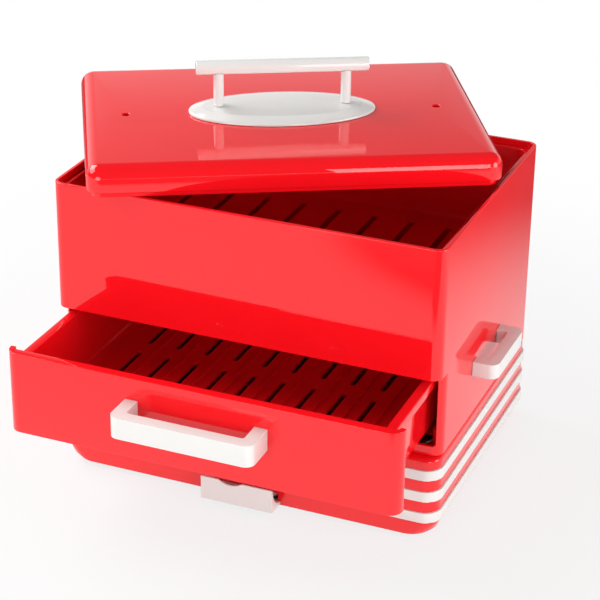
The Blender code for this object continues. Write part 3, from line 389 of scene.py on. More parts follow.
# Woven glass fibre over the switch leads
sleeve = grainedSurface("glassFibreSleeve", "#8C8C90", "#6E6E73", 0.65, 0.8, 0.08)
finishes = dict(
    red_gloss_plastic=redAbs, red_inner_plastic=innerRedAbs, white_gloss_plastic=whiteAbs,
    black_plastic=blackAbs, black_rubber=blackRubber, stainless_steel=stainless, screw_steel=zincSteel,
    amber_lens=amberLens,
)
print("hot dog maker: materials made")


# Body, base, bands and bun tray

body = dict(
    width=340, depth=250, height=260, corner=9.5, wall=3, rimRoll=0.8, recess=10.5, frameCorner=11,
    bayTop=147, pillar=5, lintel=3, sill=9, windowCorner=2.5, ledgeDrop=7.2, ledge=2.5, ledgeGap=0.4,
    seat=73.3, bossRadius=5, bossHeight=18, bossLift=0.7, bossFront=14, bossRear=12,
    notchLength=12, notchWidth=3.8, notchSpread=53,
    clear=0.05,  # keeps faces that would lie in one plane from meeting exactly
)
base = dict(
    height=73, sideStep=0.6, rearStep=0.8, front=3, corner=14.2, wall=3.5, roll=3, deck=20.6, deckThick=3,
    footSide=7.1, footFront=0.6, footRear=3.1, footCorner=20, bendHeight=4.5, bendShare=0.45, taper=13.5,
    slotHalf=30, slotTop=11, slotCentre=2.1, windowHalf=51, windowLow=17, windowHigh=56, windowOut=5,
    panCorner=18, postRadius=4.5, postFoot=3.3, postSide=155.5, postFront=60, postRear=195,
)
band = dict(low=14.5, height=9, pitch=19.85, groove=1, proud=1.5, roll=0.5, panelHalf=60, rearCut=6)
bun = dict(
    inset=6.7, corner=11, wall=1.6, draft=2, flange=1.7, flangeEdge=0.3, mouthRoll=0.8, sideGap=0.6,
    floorLow=178, floorThick=2, roll=6, columns=9, rows=3, slotWidth=6, slotGap=16, sideMargin=24,
    endMargin=22,
)
slotRound = 0.49  # end radius of a slot as a share of its width, just under half
postSteps = 24
half = body["width"] / 2
upperPlan = (-half, half, 0, body["depth"], body["corner"], body["corner"])
lowerPlan = (-half, half, body["recess"], body["depth"], body["frameCorner"], body["corner"])
basePlan = (
    -half - base["sideStep"], half + base["sideStep"], base["front"], body["depth"] + base["rearStep"],
    base["corner"], base["corner"],
)
deckPlan = shrink(basePlan, base["deck"], base["panCorner"])
bunPlan = shrink(upperPlan, bun["inset"], bun["corner"])
ledgeTop = body["height"] - body["ledgeDrop"]
deckLow = base["height"] - base["deckThick"]
middleY = body["depth"] / 2
bossX = half - body["wall"] - body["bossRadius"] + sink
bossFront = body["recess"] + body["wall"] + body["bossFront"]
bossRear = body["depth"] - body["wall"] - body["bossRear"]


def addNotches(bm, low, high):
    outer, length = half - body["wall"] - bun["sideGap"], body["notchLength"]
    for side in (-1, 1):
        for along in (-1, 1):
            ends = sorted((side * outer, side * (outer - body["notchWidth"])))
            y = middleY + along * body["notchSpread"]
            addBlock(bm, (ends[0], y - length / 2, low), (ends[1], y + length / 2, high))


def bodyShell():
    inner, innerLower = shrink(upperPlan, body["wall"]), shrink(lowerPlan, body["wall"])
    ledge = shrink(bunPlan, -body["ledgeGap"])
    bayRoof = body["bayTop"] + body["wall"]
    bm = bmesh.new()
    addShell(bm, [
        (lowerPlan, body["seat"]),
        (lowerPlan, body["bayTop"]),
        (upperPlan, body["bayTop"] + body["clear"]),
        (upperPlan, body["height"], body["rimRoll"], 4),
        (inner, body["height"]),
        (inner, ledgeTop),
        (ledge, ledgeTop),
        (ledge, ledgeTop - body["ledge"]),
        (inner, ledgeTop - body["ledge"]),
        (inner, bayRoof + body["clear"]),
        (innerLower, bayRoof),
        (innerLower, body["seat"]),
    ], closed=True)
    bosses = bmesh.new()
    for side in (-1, 1):
        for y in (bossFront, bossRear):
            spot = Matrix.Translation((side * bossX, y, body["seat"] + body["bossLift"]))
            profile = rod(body["bossRadius"], body["bossHeight"] - body["bossLift"])
            addTurned(bosses, profile, spot, postSteps)
    bm = carve(bm, bosses, "UNION")
    tool = bmesh.new()
    opening, corner = half - body["pillar"], body["windowCorner"]
    low, high = body["seat"] - gap + body["sill"], body["bayTop"] - body["lintel"]
    window = (-opening, opening, low, high, corner, corner)
    near, far = -body["recess"] + over, -body["recess"] - body["frameCorner"]
    addShell(tool, [(window, far), (window, near)], steps=5)
    bmesh.ops.transform(tool, matrix=upright, verts=tool.verts)
    addNotches(tool, ledgeTop - body["ledge"] - over, ledgeTop + over)
    bm = carve(bm, tool)
    addPiece("bodyShell", bm, bodyPlace, "red_gloss_plastic", "body", "body_housing", edge=0.3)


def footPlan(share):
    left, right, front, rear, corner = basePlan[:5]
    corner += share * (base["footCorner"] - corner)
    return (
        left + share * base["footSide"], right - share * base["footSide"], front + share * base["footFront"],
        rear - share * base["footRear"], corner, corner,
    )


def baseShell():
    bend, wall = footPlan(base["bendShare"]), base["wall"]
    rings = [(footPlan(1), 0), (bend, base["bendHeight"]), (basePlan, base["taper"])]
    groove = shrink(basePlan, band["groove"])
    for k in range(3):
        low = band["low"] + k * band["pitch"] - gap
        high = low + band["height"] + 2 * gap
        rings += [(basePlan, low), (groove, low), (groove, high), (basePlan, high)]
    rings += [
        (basePlan, base["height"], base["roll"], 5),
        (deckPlan, base["height"]),
        (deckPlan, deckLow),
        (shrink(basePlan, wall), deckLow),
        (shrink(basePlan, wall), base["taper"]),
        (shrink(bend, wall), base["bendHeight"]),
        (shrink(footPlan(1), wall), 0),
    ]
    bm = bmesh.new()
    addShell(bm, rings, closed=True)
    posts = bmesh.new()
    profile = rod(base["postRadius"], deckLow + sink - base["postFoot"])
    for x in (-base["postSide"], base["postSide"]):
        for y in (base["postFront"], base["postRear"]):
            addTurned(posts, profile, Matrix.Translation((x, y, base["postFoot"])), postSteps)
    bm = carve(bm, posts, "UNION")
    tool = bmesh.new()
    left, right = base["slotCentre"] - base["slotHalf"], base["slotCentre"] + base["slotHalf"]
    addBlock(tool, (left, -over, -over), (right, through, base["slotTop"]))
    wide, rear = base["windowHalf"], body["depth"]
    addBlock(
        tool, (-wide, rear - through, base["windowLow"]), (wide, rear + base["windowOut"], base["windowHigh"])
    )
    bm = carve(bm, tool)
    addPiece("baseShell", bm, bodyPlace, "red_gloss_plastic", "body", "base_housing", edge=0.2)


def bandRings():
    outer, inner = shrink(basePlan, -band["proud"]), shrink(basePlan, band["groove"] - gap)
    wide, near, far = band["panelHalf"] + gap, basePlan[3] - band["rearCut"], basePlan[3] + band["rearCut"]
    for k, node in enumerate(("band_lower", "band_middle", "band_upper")):
        low = band["low"] + k * band["pitch"]
        high = low + band["height"]
        bm = bmesh.new()
        addShell(bm, [
            (outer, low, band["roll"], 3), (outer, high, band["roll"], 3), (inner, high), (inner, low),
        ], closed=True)
        tool = bmesh.new()
        addBlock(tool, (-wide, near, low - over), (wide, far, high + over))
        bm = carve(bm, tool)
        addPiece(pieceName(node), bm, bodyPlace, "white_gloss_plastic", "body", node, edge=0.15)


def addSlots(tool, plan, sizes, columns, sideMargin, low, high):
    # Round-ended slots that run from front to rear
    left, right = plan[0] + sideMargin, plan[1] - sideMargin
    front, rear = plan[2] + sizes["endMargin"], plan[3] - sizes["endMargin"]
    rows, between, width = sizes["rows"], sizes["slotGap"], sizes["slotWidth"]
    length, corner = (rear - front - (rows - 1) * between) / rows, width * slotRound
    for column in range(columns):
        x = left + (right - left) * column / (columns - 1)
        for row in range(rows):
            y = front + row * (length + between)
            slot = (x - width / 2, x + width / 2, y, y + length, corner, corner)
            addShell(tool, [(slot, low), (slot, high)], steps=4)


def bunTray():
    flange = shrink(upperPlan, body["wall"] + bun["sideGap"])
    outerFoot = shrink(bunPlan, bun["draft"])
    inner, innerFoot = shrink(bunPlan, bun["wall"]), shrink(outerFoot, bun["wall"])
    low, top = bun["floorLow"], ledgeTop + gap + bun["flange"]
    bm = bmesh.new()
    addShell(bm, [
        (outerFoot, low, bun["roll"], 5),
        (bunPlan, ledgeTop + gap),
        (flange, ledgeTop + gap),
        (flange, top, bun["flangeEdge"], 2),
        (inner, top, bun["mouthRoll"], 3),
        (innerFoot, low + bun["floorThick"], bun["roll"] - bun["wall"], 5),
    ])
    tool = bmesh.new()
    addSlots(
        tool, outerFoot, bun, bun["columns"], bun["sideMargin"], low - over, low + bun["floorThick"] + over
    )
    addNotches(tool, ledgeTop, top + over)
    bm = carve(bm, tool)
    addPiece("bunTray", bm, bodyPlace, "red_inner_plastic", "bun_tray", "bun_tray", edge=0.2)


bodyShell()
baseShell()
bandRings()
bunTray()
print("hot dog maker: body, base and bun tray made")


# Drawer, its handle and the side handles

drawer = dict(
    thick=8, wrap=4.6, wrapDepth=12, wrapEnd=0.4, corner=11, innerCorner=3, low=73.4, high=145.8, edge=1.2,
    side=155.5, front=7.2, rear=239, frontCorner=3, rearCorner=12, floor=82.5, wall=3, rim=141.5,
    bottomRoll=11.5, bottomCorner=12, innerBottomCorner=9, overhang=5.6, rimThick=2.6, rimRoll=0.8,
    lipDrop=7.5, lipThick=1.8, lipRoll=1.2, lanes=10, rows=3, laneMargin=19, endMargin=22, slotWidth=5,
    slotGap=16, ribWidth=2.4, ribHeight=2, ribRoot=1,
)
pull = dict(width=122.6, reach=31.7, thick=11, height=18.5, low=108.2, corner=8, innerCorner=3, edge=1.6)
grip = dict(width=77, reach=21.5, thick=11, height=13, low=111.5, corner=8, innerCorner=4, edge=1.4)


def drawerBox():
    low, high, depth = drawer["low"], drawer["high"], drawer["wrapDepth"]
    front = bmesh.new()
    plan = (-half, half, 0, depth, drawer["corner"], drawer["wrapEnd"])
    addShell(front, [(plan, low), (plan, high)])
    tool = bmesh.new()
    wide = half - drawer["wrap"]
    pocket = (-wide, wide, drawer["thick"], depth + through, drawer["innerCorner"], toolCorner)
    addShell(tool, [(pocket, low - over), (pocket, high + over)], steps=4)
    front = carve(front, tool)
    soften(front, drawer["edge"], 4)

    side, roll = drawer["side"], drawer["bottomRoll"]
    outer = (-side, side, drawer["front"], drawer["rear"], drawer["frontCorner"], drawer["rearCorner"])
    lip = shrink(outer, -drawer["overhang"])
    lipInner = shrink(lip, drawer["lipThick"])
    inner = shrink(outer, drawer["wall"])
    rim, floorTop = drawer["rim"], drawer["floor"] + drawer["wall"]
    box = bmesh.new()
    addShell(box, [
        (shrink(outer, 0, drawer["bottomCorner"]), drawer["floor"], roll, 6),
        (outer, rim - drawer["rimThick"]),
        (lipInner, rim - drawer["rimThick"]),
        (lipInner, rim - drawer["lipDrop"]),
        (lip, rim - drawer["lipDrop"]),
        (lip, rim, drawer["lipRoll"], 4),
        (inner, rim, drawer["rimRoll"], 3),
        (shrink(inner, 0, drawer["innerBottomCorner"]), floorTop, roll - drawer["wall"], 6),
    ])
    bm = carve(front, box, "UNION")

    # Low ribs part the lanes, and each lane has a row of slots for the steam
    span, wide = 2 * (side - drawer["laneMargin"]), drawer["ribWidth"]
    pitch = span / drawer["lanes"]
    near, far = drawer["front"] + drawer["endMargin"], drawer["rear"] - drawer["endMargin"]
    ribs = bmesh.new()
    for k in range(1, drawer["lanes"]):
        x = -span / 2 + k * pitch
        addBlock(
            ribs, (x - wide / 2, near, floorTop - drawer["ribRoot"]),
            (x + wide / 2, far, floorTop + drawer["ribHeight"]),
        )
    bm = carve(bm, ribs, "UNION")
    tool = bmesh.new()
    margin = drawer["laneMargin"] + pitch / 2
    addSlots(tool, outer, drawer, drawer["lanes"], margin, drawer["floor"] - over, floorTop + over)
    bm = carve(bm, tool)
    addPiece("drawerBox", bm, drawerPlace, "red_gloss_plastic", "drawer", "drawer", edge=0.2)


def handleLoop(sizes):
    # A U in plan: its feet end on Y = 0 and it reaches out towards -Y
    reach, wide = sizes["reach"] - gap, sizes["width"] / 2
    low, high = sizes["low"], sizes["low"] + sizes["height"]
    bm = bmesh.new()
    solid = (-wide, wide, -reach, 0, sizes["corner"], squareCorner)
    addShell(bm, [(solid, low), (solid, high)], steps=10)
    tool = bmesh.new()
    inside, past = wide - sizes["thick"], 3
    hollow = (-inside, inside, sizes["thick"] - reach, through, sizes["innerCorner"], toolCorner)
    addShell(tool, [(hollow, low - past), (hollow, high + past)], steps=6)
    bm = carve(bm, tool)
    soften(bm, sizes["edge"], 5)
    return bm


def handles():
    seat = drawerPlace @ Matrix.Translation((0, -gap, 0))
    addPiece("drawerPull", handleLoop(pull), seat, "white_gloss_plastic", "drawer", "drawer_handle", edge=0)
    for side, name in ((-1, "Left"), (1, "Right")):
        turn = Matrix.Rotation(side * math.radians(90), 4, "Z")
        seat = bodyPlace @ (Matrix.Translation((side * (half + gap), middleY, 0)) @ turn)
        node = "side_handle_" + name.lower()
        addPiece("sideGrip" + name, handleLoop(grip), seat, "white_gloss_plastic", "body", node, edge=0)


drawerBox()
handles()
print("hot dog maker: drawer and handles made")


# Lid and its handle, with the origin at the middle of the lid's lower edge

lid = dict(
    depth=242, height=21.8, corner=12.5, roll=11, edge=0.8, wall=2.8, top=3, innerRoll=2.5, lipInset=4.3,
    lipThick=2.2, grooveRoof=9.8, ventRadius=3.5, ventMouth=0.45, ventLow=10, ventSpread=133.6,
)
plate = dict(halfLength=80.3, halfWidth=40, height=5.4, edge=1.2, slope=11, soft=1.5, steps=96)
bar = dict(length=147.5, radius=6, height=40.1, postSpread=54.5, postRadius=4.4, end=1.0, steps=64)


def lidShell():
    plan = (-half, half, -lid["depth"] / 2, lid["depth"] / 2, lid["corner"], lid["corner"])
    wall, lip = shrink(plan, lid["wall"]), shrink(plan, lid["lipInset"])
    lipInner, drop = shrink(lip, lid["lipThick"]), lidSeat["lipDrop"]
    bm = bmesh.new()
    addShell(bm, [
        (plan, lid["height"], lid["roll"], 12),
        (plan, 0, lid["edge"], 3),
        (wall, 0),
        (wall, lid["grooveRoof"]),
        (lip, lid["grooveRoof"]),
        (lip, -drop),
        (lipInner, -drop),
        (lipInner, lid["height"] - lid["top"], lid["innerRoll"], 4),
    ], steps=12)
    # Two steam vents, each with a softened mouth
    hole, mouth, foot = lid["ventRadius"], lid["ventMouth"], lid["ventLow"]
    low, high = lid["height"] - mouth, lid["height"] + mouth
    profile = [(0, foot), (hole, foot), (hole, low), (hole + 2 * mouth, high), (0, high)]
    tool = bmesh.new()
    for side in (-1, 1):
        addTurned(tool, profile, Matrix.Translation((side * lid["ventSpread"], 0, 0)), 32)
    bm = carve(bm, tool)
    addPiece("lidShell", bm, lidPlace, "red_gloss_plastic", "lid", "lid_shell", edge=0.3)


def lidPlate():
    # An oval plate: a thin upright edge, a broad sloping border and a flat middle
    low, edge, slope = lid["height"] + gap, plate["edge"], plate["slope"]
    steps = [(0, 0), (0, edge), (edge * 0.4, edge * 1.7), (edge, edge * 2), (slope, plate["height"])]
    bm = bmesh.new()
    made = bmesh.ops.create_circle(bm, cap_ends=True, segments=plate["steps"], radius=1)["verts"]
    face = made[0].link_faces[0]
    bmesh.ops.scale(bm, vec=(plate["halfLength"], plate["halfWidth"], 1), verts=made)
    bmesh.ops.translate(bm, vec=(0, 0, low), verts=made)
    for (inner, height), (before, below) in zip(steps[1:], steps):
        face = extrude(bm, face, keep=not (before or below))
        shares = [(size - inner) / (size - before) for size in (plate["halfLength"], plate["halfWidth"])]
        bmesh.ops.scale(bm, vec=(*shares, 1), verts=face.verts)
        bmesh.ops.translate(bm, vec=(0, 0, height - below), verts=face.verts)
    roundOff(bm, list(face.edges), plate["soft"], 4)
    addPiece("lidPlate", bm, lidPlace, "white_gloss_plastic", "lid", "lid_plate", edge=0.2)


def lidBar():
    # Two posts with a saddle for the bar that lies on them
    top, foot = lid["height"] + bar["height"], lid["height"] + 2 * gap + plate["height"]
    radius, length = bar["postRadius"], bar["length"]
    saddle, across = bar["radius"] + gap, 4 * radius
    for side, node in ((-1, "lid_post_left"), (1, "lid_post_right")):
        bm = bmesh.new()
        x = side * bar["postSpread"]
        addTurned(bm, rod(radius, top, foot), Matrix.Translation((x, 0, 0)))
        tool = bmesh.new()
        addTurned(tool, rod(saddle, across), facing(x - across / 2, 0, top, (1, 0, 0)), bar["steps"])
        bm = carve(bm, tool)
        addPiece(pieceName(node), bm, lidPlace, "white_gloss_plastic", "lid", node, edge=0.15)
    bm = bmesh.new()
    addTurned(bm, rod(bar["radius"], length), facing(-length / 2, 0, top, (1, 0, 0)), bar["steps"])
    soften(bm, bar["end"], 5)
    addPiece("lidBar", bm, lidPlace, "white_gloss_plastic", "lid", "lid_bar", edge=0)


lidShell()
lidPlate()
lidBar()
print("hot dog maker: lid made")


# Drip tray with its pull

tray = dict(
    centre=2.1, width=55, length=140, height=7, wall=1.6, corner=4, roll=1, innerRoll=1.2, front=9.1, low=3.4,
    pullWidth=65.2, pullFront=-15.5, pullBottom=2.3, plate=1.7, curve=19.5, tongue=14, root=7.1, neck=2.7,
    scoopRadius=19, scoopDepth=3.5, scoopOffset=-6.1, scoopLength=40, past=5, steps=96,
)


def dripTray():
    middle, front, past = tray["centre"], tray["pullFront"], tray["past"]
    low, top = tray["low"], tray["low"] + tray["height"]
    left, near = middle - tray["width"] / 2, tray["front"]
    outer = (left, left + tray["width"], near, near + tray["length"], tray["corner"], tray["corner"])
    inner = shrink(outer, tray["wall"])
    bm = bmesh.new()
    addShell(bm, [
        (outer, low, tray["roll"], 3),
        (outer, top),
        (inner, top),
        (inner, low + tray["wall"], tray["innerRoll"], 3),
    ], steps=6)

    # The pull: a block hollowed to a plate that curves up, with a scoop for the fingers
    bottom = tray["pullBottom"]
    plateTop = bottom + tray["plate"]
    curveTop, curveRear = plateTop + tray["curve"], front + tray["plate"] + tray["curve"]
    wide, narrow = tray["pullWidth"] / 2, tray["width"] / 2 - tray["corner"]
    pullBody = bmesh.new()
    addBlock(pullBody, (middle - wide, front, bottom), (middle + wide, curveRear, curveTop))
    tool = bmesh.new()
    across = 2 * wide + 2 * past
    seat = facing(middle - wide - past, curveRear, curveTop, (1, 0, 0))
    addTurned(tool, rod(tray["curve"], across), seat, tray["steps"])
    pullBody = carve(pullBody, tool)

    # A tongue that runs under the base's edge and into the tray's front wall
    rear = near + tray["wall"] - gap
    for tongueLow, tongueRear in ((bottom, tray["root"]), (low, rear)):
        tongue = bmesh.new()
        start = front + tray["tongue"]
        addBlock(tongue, (middle - narrow, start, tongueLow), (middle + narrow, tongueRear, plateTop))
        pullBody = carve(pullBody, tongue, "UNION")
    tool = bmesh.new()
    for side in (-1, 1):
        ends = sorted((middle + side * narrow, middle + side * (wide + over)))
        addBlock(tool, (ends[0], tray["neck"], bottom - over), (ends[1], rear + over, curveTop + over))
    pullBody = carve(pullBody, tool)
    scoop = bmesh.new()
    centreZ = curveTop - tray["scoopDepth"] + tray["scoopRadius"]
    seat = facing(middle + tray["scoopOffset"], front - past, centreZ, (0, 1, 0))
    addTurned(scoop, rod(tray["scoopRadius"], tray["scoopLength"]), seat, tray["steps"])
    pullBody = carve(pullBody, scoop)
    bm = carve(bm, pullBody, "UNION")
    addPiece("dripTray", bm, bodyPlace, "white_gloss_plastic", "drip_tray", "drip_tray", edge=0.35)


dripTray()
print("hot dog maker: drip tray made")


# Water pan and feet

pan = dict(wall=1.2, floor=25, flange=6, roll=8, edge=0.4, mouthRoll=1)
foot = dict(
    radius=9, sole=8.1, height=3.2, drop=3, side=30, front=32, hollow=0.5, hollowInner=0.45,
    hollowOuter=0.5, treadIn=0.4, treadUp=0.3,
)


def waterPan():
    # Deep-drawn: its flange lies on the base's deck, and the wall runs into the floor in a wide roll
    outer = shrink(deckPlan, gap)
    flange, inner = shrink(outer, -pan["flange"]), shrink(outer, pan["wall"])
    low = base["height"] + gap
    bm = bmesh.new()
    addShell(bm, [
        (outer, pan["floor"], pan["roll"], 6),
        (outer, low),
        (flange, low),
        (flange, low + pan["wall"], pan["edge"], 2),
        (inner, low + pan["wall"], pan["mouthRoll"], 3),
        (inner, pan["floor"] + pan["wall"], pan["roll"] - pan["wall"], 6),
    ])
    addPiece("waterPan", bm, bodyPlace, "stainless_steel", "body", "water_pan", edge=0)


def feet():
    left, right, front, rear = basePlan[:4]
    radius, sole, height, hollow = foot["radius"], foot["sole"], foot["height"], foot["hollow"]
    spots = {
        "front_left": (left + foot["side"], front + foot["front"]),
        "front_right": (right - foot["side"], front + foot["front"]),
        "rear_left": (left + foot["side"], rear - foot["front"]),
        "rear_right": (right - foot["side"], rear - foot["front"]),
    }
    profile = [
        (0, hollow), (sole * foot["hollowInner"], hollow), (sole * foot["hollowOuter"], 0),
        (sole - foot["treadIn"], 0), (sole, foot["treadUp"]), (radius, height / 2), (radius, height),
        (0, height),
    ]
    for corner, (x, y) in spots.items():
        bm = bmesh.new()
        addTurned(bm, profile, Matrix.Translation((x, y, -foot["drop"])))
        node = "foot_" + corner
        addPiece(pieceName(node), bm, bodyPlace, "black_rubber", "body", node, edge=0.15)


waterPan()
feet()
print("hot dog maker: water pan and feet made")


# Service panel on the back, with its rocker switch, pilot lamp and cord grommet

panel = dict(
    half=60, low=8, high=65, thick=3, corner=4, face=254.1, spacing=31, middle=36.5, screwSide=55.5,
    screwHole=2.3, edge=0.7,
)
rocker = dict(
    barrelHalf=9, barrelTall=13.5, barrelBack=240.4, lip=1.5, lipThick=2, rimCorner=1.6, rimRoll=0.8,
    wellHalf=7, wellTall=11.3, wellFloor=247.2, pivot=251.0, halfWidth=6.5, halfTall=10.3, front=5.5,
    dish=0.7, dishSteps=12, back=2.5, backTall=6, tilt=10,
)
marks = dict(inset=5.4, proud=0.06, depth=0.6, barHalf=0.45, reach=1.9, ringInner=1.2)
lamp = dict(radius=4, lip=1.2, dome=2.8, tail=4.2, domeAngles=(0, 0.35, 0.7, 1.05, 1.3))
grommet = dict(bore=3.5, radius=5.8, lip=2.4, lipThick=2, roll=0.5, shoulder=0.8)
panelSeat = panel["face"] + gap


def servicePanel():
    plan = (-panel["half"], panel["half"], panel["low"], panel["high"], panel["corner"], panel["corner"])
    bm = bmesh.new()
    addShell(bm, [(plan, 0, panel["edge"], 4), (plan, panel["thick"])], steps=8)
    bmesh.ops.transform(bm, matrix=Matrix.Translation((0, panel["face"], 0)) @ upright, verts=bm.verts)
    tool = bmesh.new()
    near, far = panel["face"] - panel["thick"] - over, panel["face"] + over
    wide, tall = rocker["barrelHalf"] + gap, rocker["barrelTall"] + gap
    x, z = -panel["spacing"], panel["middle"]
    addBlock(tool, (x - wide, near, z - tall), (x + wide, far, z + tall))
    holes = (
        (0, lamp["radius"] + gap), (panel["spacing"], grommet["radius"] + gap),
        (-panel["screwSide"], panel["screwHole"]), (panel["screwSide"], panel["screwHole"]),
    )
    for x, radius in holes:
        addTurned(tool, rod(radius, far - near), facing(x, near, z, (0, 1, 0)), 32)
    bm = carve(bm, tool)
    addPiece("servicePanel", bm, bodyPlace, "red_gloss_plastic", "body", "service_panel", edge=0.2)


def dishedFront(height):
    # How far out the rocker's hollow front lies at a height from its middle
    return rocker["front"] - rocker["dish"] * (1 - (height / rocker["halfTall"]) ** 2)


def switchBezel():
    x, z = -panel["spacing"], panel["middle"]
    wide, tall, lip = rocker["barrelHalf"], rocker["barrelTall"], rocker["lip"]
    bm = bmesh.new()
    addBlock(bm, (x - wide, rocker["barrelBack"], z - tall), (x + wide, panelSeat + sink, z + tall))
    rim = bmesh.new()
    wide, tall, corner = wide + lip, tall + lip, rocker["rimCorner"]
    rimPlan = (x - wide, x + wide, z - tall, z + tall, corner, corner)
    addShell(rim, [(rimPlan, -rocker["lipThick"], rocker["rimRoll"], 4), (rimPlan, 0)], steps=5)
    bmesh.ops.transform(rim, matrix=Matrix.Translation((0, panelSeat, 0)) @ upright, verts=rim.verts)
    bm = carve(bm, rim, "UNION")
    tool = bmesh.new()
    wide, tall = rocker["wellHalf"], rocker["wellTall"]
    addBlock(tool, (x - wide, rocker["wellFloor"], z - tall), (x + wide, panelSeat + through, z + tall))
    bm = carve(bm, tool)
    addPiece("switchBezel", bm, bodyPlace, "black_plastic", "body", "switch_bezel", edge=0.25)


def switchRocker():
    wide, tall, back, backTall = rocker["halfWidth"], rocker["halfTall"], rocker["back"], rocker["backTall"]
    heights = [tall * (2 * k / rocker["dishSteps"] - 1) for k in range(rocker["dishSteps"] + 1)]
    dished = [(dishedFront(height), height) for height in heights]
    section = [(-back, -backTall), (back, -tall), *dished, (back, tall), (-back, backTall)]
    bm = bmesh.new()
    face = bm.faces.new([bm.verts.new((-wide, y, height)) for y, height in section])
    end = extrude(bm, face, keep=True)
    bmesh.ops.translate(bm, vec=(2 * wide, 0, 0), verts=end.verts)
    seat = (
        bodyPlace @ Matrix.Translation((-panel["spacing"], rocker["pivot"], panel["middle"]))
        @ Matrix.Rotation(math.radians(-rocker["tilt"]), 4, "X")
    )
    addPiece("switchRocker", bm, seat, "black_plastic", "rocker", "switch_rocker", edge=0.35)

    # The usual on and off marks, a bar and a ring, moulded in white
    bm = bmesh.new()
    wide, reach, depth, inset = marks["barHalf"], marks["reach"], marks["depth"], marks["inset"]
    level = dishedFront(inset) + marks["proud"]
    addBlock(bm, (-wide, level - depth, -inset - reach), (wide, level, -inset + reach))
    ring = [(marks["ringInner"], 0), (reach, 0), (reach, depth), (marks["ringInner"], depth)]
    addTurned(bm, ring, facing(0, level - depth, inset, (0, 1, 0)), 32, closed=True)
    addPiece("rockerMarks", bm, seat, "white_gloss_plastic", "rocker", None, edge=0)


def lampAndGrommet():
    radius, lip, tail, rise = lamp["radius"], lamp["lip"], lamp["tail"], lamp["dome"]
    profile = [(0, -tail), (radius, -tail), (radius, 0), (radius + lip, 0), (radius + lip, lip)]
    profile += [(radius * math.cos(angle), lip + rise * math.sin(angle)) for angle in lamp["domeAngles"]]
    bm = bmesh.new()
    addTurned(bm, [*profile, (0, lip + rise)], facing(0, panelSeat, panel["middle"], (0, 1, 0)))
    addPiece("pilotLamp", bm, bodyPlace, "amber_lens", "body", "pilot_lamp", edge=0.2)
    inside = -panel["thick"] - 2 * gap
    bore, radius, thick, roll = grommet["bore"], grommet["radius"], grommet["lipThick"], grommet["roll"]
    wide = radius + grommet["lip"]
    profile = [
        (bore, inside - thick), (wide, inside - thick), (wide, inside), (radius, inside), (radius, 0),
        (wide, 0), (wide, thick / 2), (wide - roll, thick * grommet["shoulder"]), (radius, thick),
        (bore + roll, thick), (bore, thick - roll),
    ]
    bm = bmesh.new()
    seat = facing(panel["spacing"], panelSeat, panel["middle"], (0, 1, 0))
    addTurned(bm, profile, seat, closed=True)
    addPiece("cordGrommet", bm, bodyPlace, "black_rubber", "body", "cord_grommet", edge=0.15)


servicePanel()
switchBezel()
switchRocker()
lampAndGrommet()
print("hot dog maker: service panel made")


# Screws: pan heads with a cross recess

screw = dict(
    head=3.8, height=2.2, shank=2, root=0.2, recess=1.2, recessHalf=1.9, recessWide=0.42, recessCorner=0.2,
    past=1, coverSeat=0.2,
    # Shares of the head's radius and height
    crown=((0, 1), (0.6, 1), (0.84, 0.88), (0.96, 0.6), (1, 0.3), (1, 0), (0, 0)),
)
screwLength = dict(housing=11.6, cover=11.1, sideHandle=11.6, panel=11.5, drawerHandle=20.2, lid=41.9)


def screwPattern():
    # Stands on its seat with the head below and the shank upwards; the shank is cut to length later
    height, corner = screw["height"], screw["recessCorner"]
    reach, wide = screw["recessHalf"], screw["recessWide"]
    bm = bmesh.new()
    addTurned(bm, [(screw["head"] * out, -height * down) for out, down in screw["crown"]], steps=32)
    for long, short in ((reach, wide), (wide, reach)):
        arm = (-long, long, -short, short, corner, corner)
        tool = bmesh.new()
        addShell(tool, [(arm, -height - screw["past"]), (arm, -height + screw["recess"])], steps=2)
        bm = carve(bm, tool)
    return bm


def screwJobs():
    # Each screw's node, seat, direction and length
    wallX = half - body["wall"] - gap
    gripSpan, gripZ = (grip["width"] - grip["thick"]) / 2, grip["low"] + grip["height"] / 2
    pullX, pullZ = (pull["width"] - pull["thick"]) / 2, pull["low"] + pull["height"] / 2
    pullY, lidZ = drawer["front"] + drawer["wall"] + gap, lid["height"] - lid["top"] - gap
    postX, up, forward = base["postSide"], (0, 0, 1), (0, -1, 0)
    rows = (
        ("front", bossFront, base["postFront"], middleY - gripSpan),
        ("rear", bossRear, base["postRear"], middleY + gripSpan),
    )
    for side, hand in ((-1, "left"), (1, "right")):
        for end, bossY, postY, gripY in rows:
            spot = (side * bossX, bossY, deckLow - gap)
            yield f"housing_screw_{end}_{hand}", spot, up, screwLength["housing"]
            spot = (side * postX, postY, screw["coverSeat"])
            yield f"cover_screw_{end}_{hand}", spot, up, screwLength["cover"]
            spot = (side * wallX, gripY, gripZ)
            yield f"side_handle_screw_{end}_{hand}", spot, (side, 0, 0), screwLength["sideHandle"]
        spot = (side * panel["screwSide"], panelSeat, panel["middle"])
        yield f"panel_screw_{hand}", spot, forward, screwLength["panel"]
        spot = (side * pullX, pullY, pullZ)
        yield f"drawer_handle_screw_{hand}", spot, forward, screwLength["drawerHandle"]
        yield f"lid_screw_{hand}", (side * bar["postSpread"], 0, lidZ), up, screwLength["lid"]


